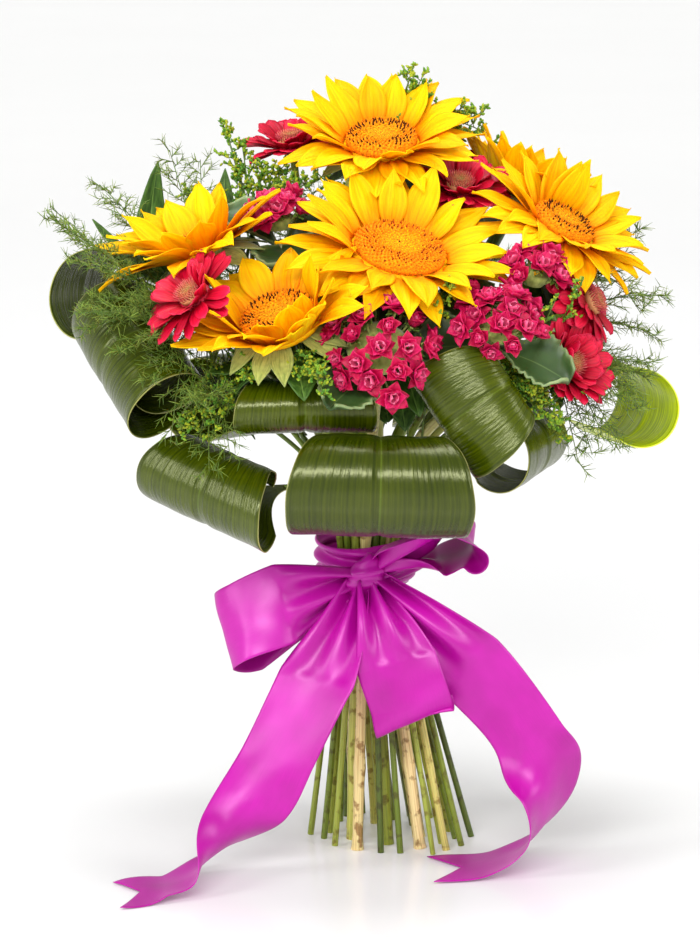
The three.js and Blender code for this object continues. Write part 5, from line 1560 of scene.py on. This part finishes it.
def fern(spray):
    curve = upper_curve(spray["spot"], Vector(spray["fork"]), Vector((0, 0, 1)))
    stem_shape = new_shape()
    whole_stem(stem_shape, spray["spot"], FILLER_STEM, curve, end_radius=1.1, sides=8)
    shape = new_shape()
    for order, (start, tip, bow, stout) in enumerate(branches(spray, curve, 0.9)):
        twig(stem_shape, start, tip, 0.8 * stout, 0.25, bow, sides=6, rows=10)
        along = (tip - start).normalized()
        side = along.cross(Vector((0, 0, 1))).normalized()
        bare = max(0.2, 1 - FROND_LENGTH / (tip - start).length)
        for i in range(SIDE_SPRAYS):
            t = bare + (0.99 - bare) * i / (SIDE_SPRAYS - 1)
            on = twig_point(start, tip, bow, t)
            hand = 1 if i % 2 == 0 else -1
            length = SPRAY_LENGTH * (1.05 - 0.75 * (t - bare) / (1 - bare))
            end = on + along * length * 0.75 + side * hand * length * 0.85
            end.z += 5 * spread_draw(order + 2, i)
            if not is_clear(*twig_test(on, end, 0.6, 0)):
                continue
            twig(stem_shape, on, end, 0.28, 0.14, 0, sides=4, rows=2)
            for k in range(SPRAY_NEEDLES):
                s = 0.15 + 0.85 * k / (SPRAY_NEEDLES - 1)
                lean = drawn_way(order + k, i + 60, i + 80, i + 99) + (end - on).normalized() * 0.8
                size = NEEDLE_LENGTH + 2 * draw(k, i + order)
                stamp(shape, needle_kinds[k % 2], turned_to(on.lerp(end, s), lean.normalized(), 0, size))
    hand_over(spray["name"] + "_stalk", stem_shape, fine_stem)
    hand_over(spray["name"] + "_needles", shape, needle_finish, [spray["name"]],
              closed=False)


for spray in FERNS:
    fern(spray)
    take(spray["name"])


# Stem leaves: the soft broad leaves that florists leave on the sunflowers under their heads.
# They are mid green with branching veins, and fill the gaps between the flowers.
# Each grows on the sunflower of that place in the table, at a part of its stem, and ends at a tip.
STEM_LEAVES = table(
    "on part tip width bows roll",
    (3, 0.7, (-128, -70, 352), 18),
    (2, 0.75, (-96, -92, 316), 18),
    (2, 0.72, (-36, -128, 306), 17),
    (2, 0.6, (-78, -96, 300), 19),
    (1, 0.8, (52, -88, 344), 18),
    (1, 0.7, (-20, -70, 352), 18),
    (1, 0.55, (46, -92, 318), 20),
    (0, 0.85, (-26, 6, 414), 17),
    (0, 0.85, (52, 40, 412), 17),
    (0, 0.8, (0, 92, 408), 20),
    (4, 0.8, (74, 106, 380), 19),
    (5, 0.8, (96, -36, 340), 20),
    (5, 0.75, (142, -62, 304), 19),
    (5, 0.65, (116, -70, 296), 20),
    (5, 0.8, (160, 26, 350), 19),
    (3, 0.75, (-80, 84, 384), 19),
    (1, 0.4, (32, -98, 290), 22),
    (1, 0.3, (52, -84, 276), 22),
    (2, 0.4, (-66, -96, 276), 22),
    (5, 0.45, (118, -64, 288), 22),
    (2, 0.5, (-112, -76, 300), 22),
    (2, 0.6, (13, -70, 280), 20),
    (3, 0.94, (-130, 80, 416), 32, (-36,), 0.4),
    (3, 0.88, (-168, 20, 389), 21, (-12,)),
    (3, 0.98, (-87, 50, 416), 21, (-24,)),
    (1, 0.6, (-21, -90, 283), 20),
    (1, 0.45, (-22, -30, 270), 20),
    (1, 0.94, (24, -74, 276), 22),
    (1, 0.5, (14, -40, 274), 22))
LOW_LEAVES = 4
LOW_LEAF_REACH = 46
LOW_LEAF_WIDTH = 19
LOW_LEAF_FIRST = 0.3
LOW_LEAF_STEP = 0.11
HEAD_TO_STEM = -14
SOFT_BOWS = (4, 14, -6, -24)
SOFT_SIZES = (1, 0.75, 0.5)
SET_BACK = (0, 14, 28)
SOFT_WALL = 0.6


def sunflower_curve(flower):
    head = head_axes(flower["at"], flower["face"])
    return upper_curve(flower["spot"], on_head(head, 0, 0, HEAD_TO_STEM), head["n"])


# Smaller leaves lower down the same stems, each a golden turn round from the last
for leaf_no in range(LOW_LEAVES * len(SUNFLOWERS)):
    on, step = divmod(leaf_no, LOW_LEAVES)
    part = LOW_LEAF_FIRST + LOW_LEAF_STEP * step
    outward = Vector((math.cos(leaf_no * GOLDEN_TURN), math.sin(leaf_no * GOLDEN_TURN), 0.35))
    tip = bezier(sunflower_curve(SUNFLOWERS[on]), part) + outward * LOW_LEAF_REACH
    STEM_LEAVES.append({"on": on, "part": part, "tip": tip, "width": LOW_LEAF_WIDTH})

soft_leaf_finish, tree, shader = begin_finish("sunflower_leaf", 0.55, Specular_IOR_Level=0.35)
branching = streaks(tree, 6, 16, 3.0)
soft_green = ramp(tree, branching, [(0.34, (0.025, 0.07, 0.006)), (0.56, (0.06, 0.14, 0.014)),
                                    (0.75, (0.1, 0.2, 0.03))])
midrib = ramp(tree, uv_part(tree, "X"), [(0.46, (0, 0, 0)), (0.5, (0.16, 0.24, 0.06)), (0.54, (0, 0, 0))])
paint(tree, shader, blend_colours(tree, "ADD", 0.8, soft_green, midrib))
raise_relief(tree, shader, branching, 0.5, 0.001)


# A pointed heart shape from the stem out to the tip, keeled along its middle and waved at the edge.
# It bows up or down between them, and may be rolled about the line from one to the other.
def stem_leaf_place(start, tip, width, bow, seed, roll):
    line = tip - start
    side = Matrix.Rotation(roll, 3, line) @ line.cross(Vector((0, 0, 1))).normalized()
    above = side.cross(line).normalized()

    def place(u, v):
        half = 0.3
        if v < 1:
            half = width * (0.05 + 0.95 * math.sin(math.pi * v ** 0.75) ** 0.8) * (1 - 0.3 * v)
        lift = bow * 4 * v * (1 - v) + half * (0.3 * abs(u) + 0.12 * u * math.sin(v * 9 + seed))
        return start + line * v + above * lift + side * (u * half)

    return place


# Each leaf takes the first size, place and bow at which it touches nothing, and else is left out
leaf_shape = new_shape()
for seed, leaf in enumerate(STEM_LEAVES):
    curve = sunflower_curve(SUNFLOWERS[leaf["on"]])
    parts = (leaf["part"], leaf["part"] - 0.2, 0.94, leaf["part"] - 0.4)
    tries = itertools.product(SOFT_SIZES, SET_BACK, leaf.get("bows", SOFT_BOWS), parts)
    for size, behind, bow, part in tries:
        start = bezier(curve, part)
        tip = Vector(leaf["tip"]) + Vector((0, behind, -behind * math.tan(CAMERA_TILT)))
        start += (tip - start).normalized() * (SUNFLOWER_STEM + 0.6)
        place = stem_leaf_place(start, tip, leaf["width"] * size, bow, seed, leaf.get("roll", 0))
        if is_clear(*grid_test(place, 2, 5)):
            skin(leaf_shape, columns=10, rows=16, place=place, tone=draw(seed, 3))
            break
hand_over("sunflower_foliage", leaf_shape, soft_leaf_finish, thickness=SOFT_WALL,
          closed=False)
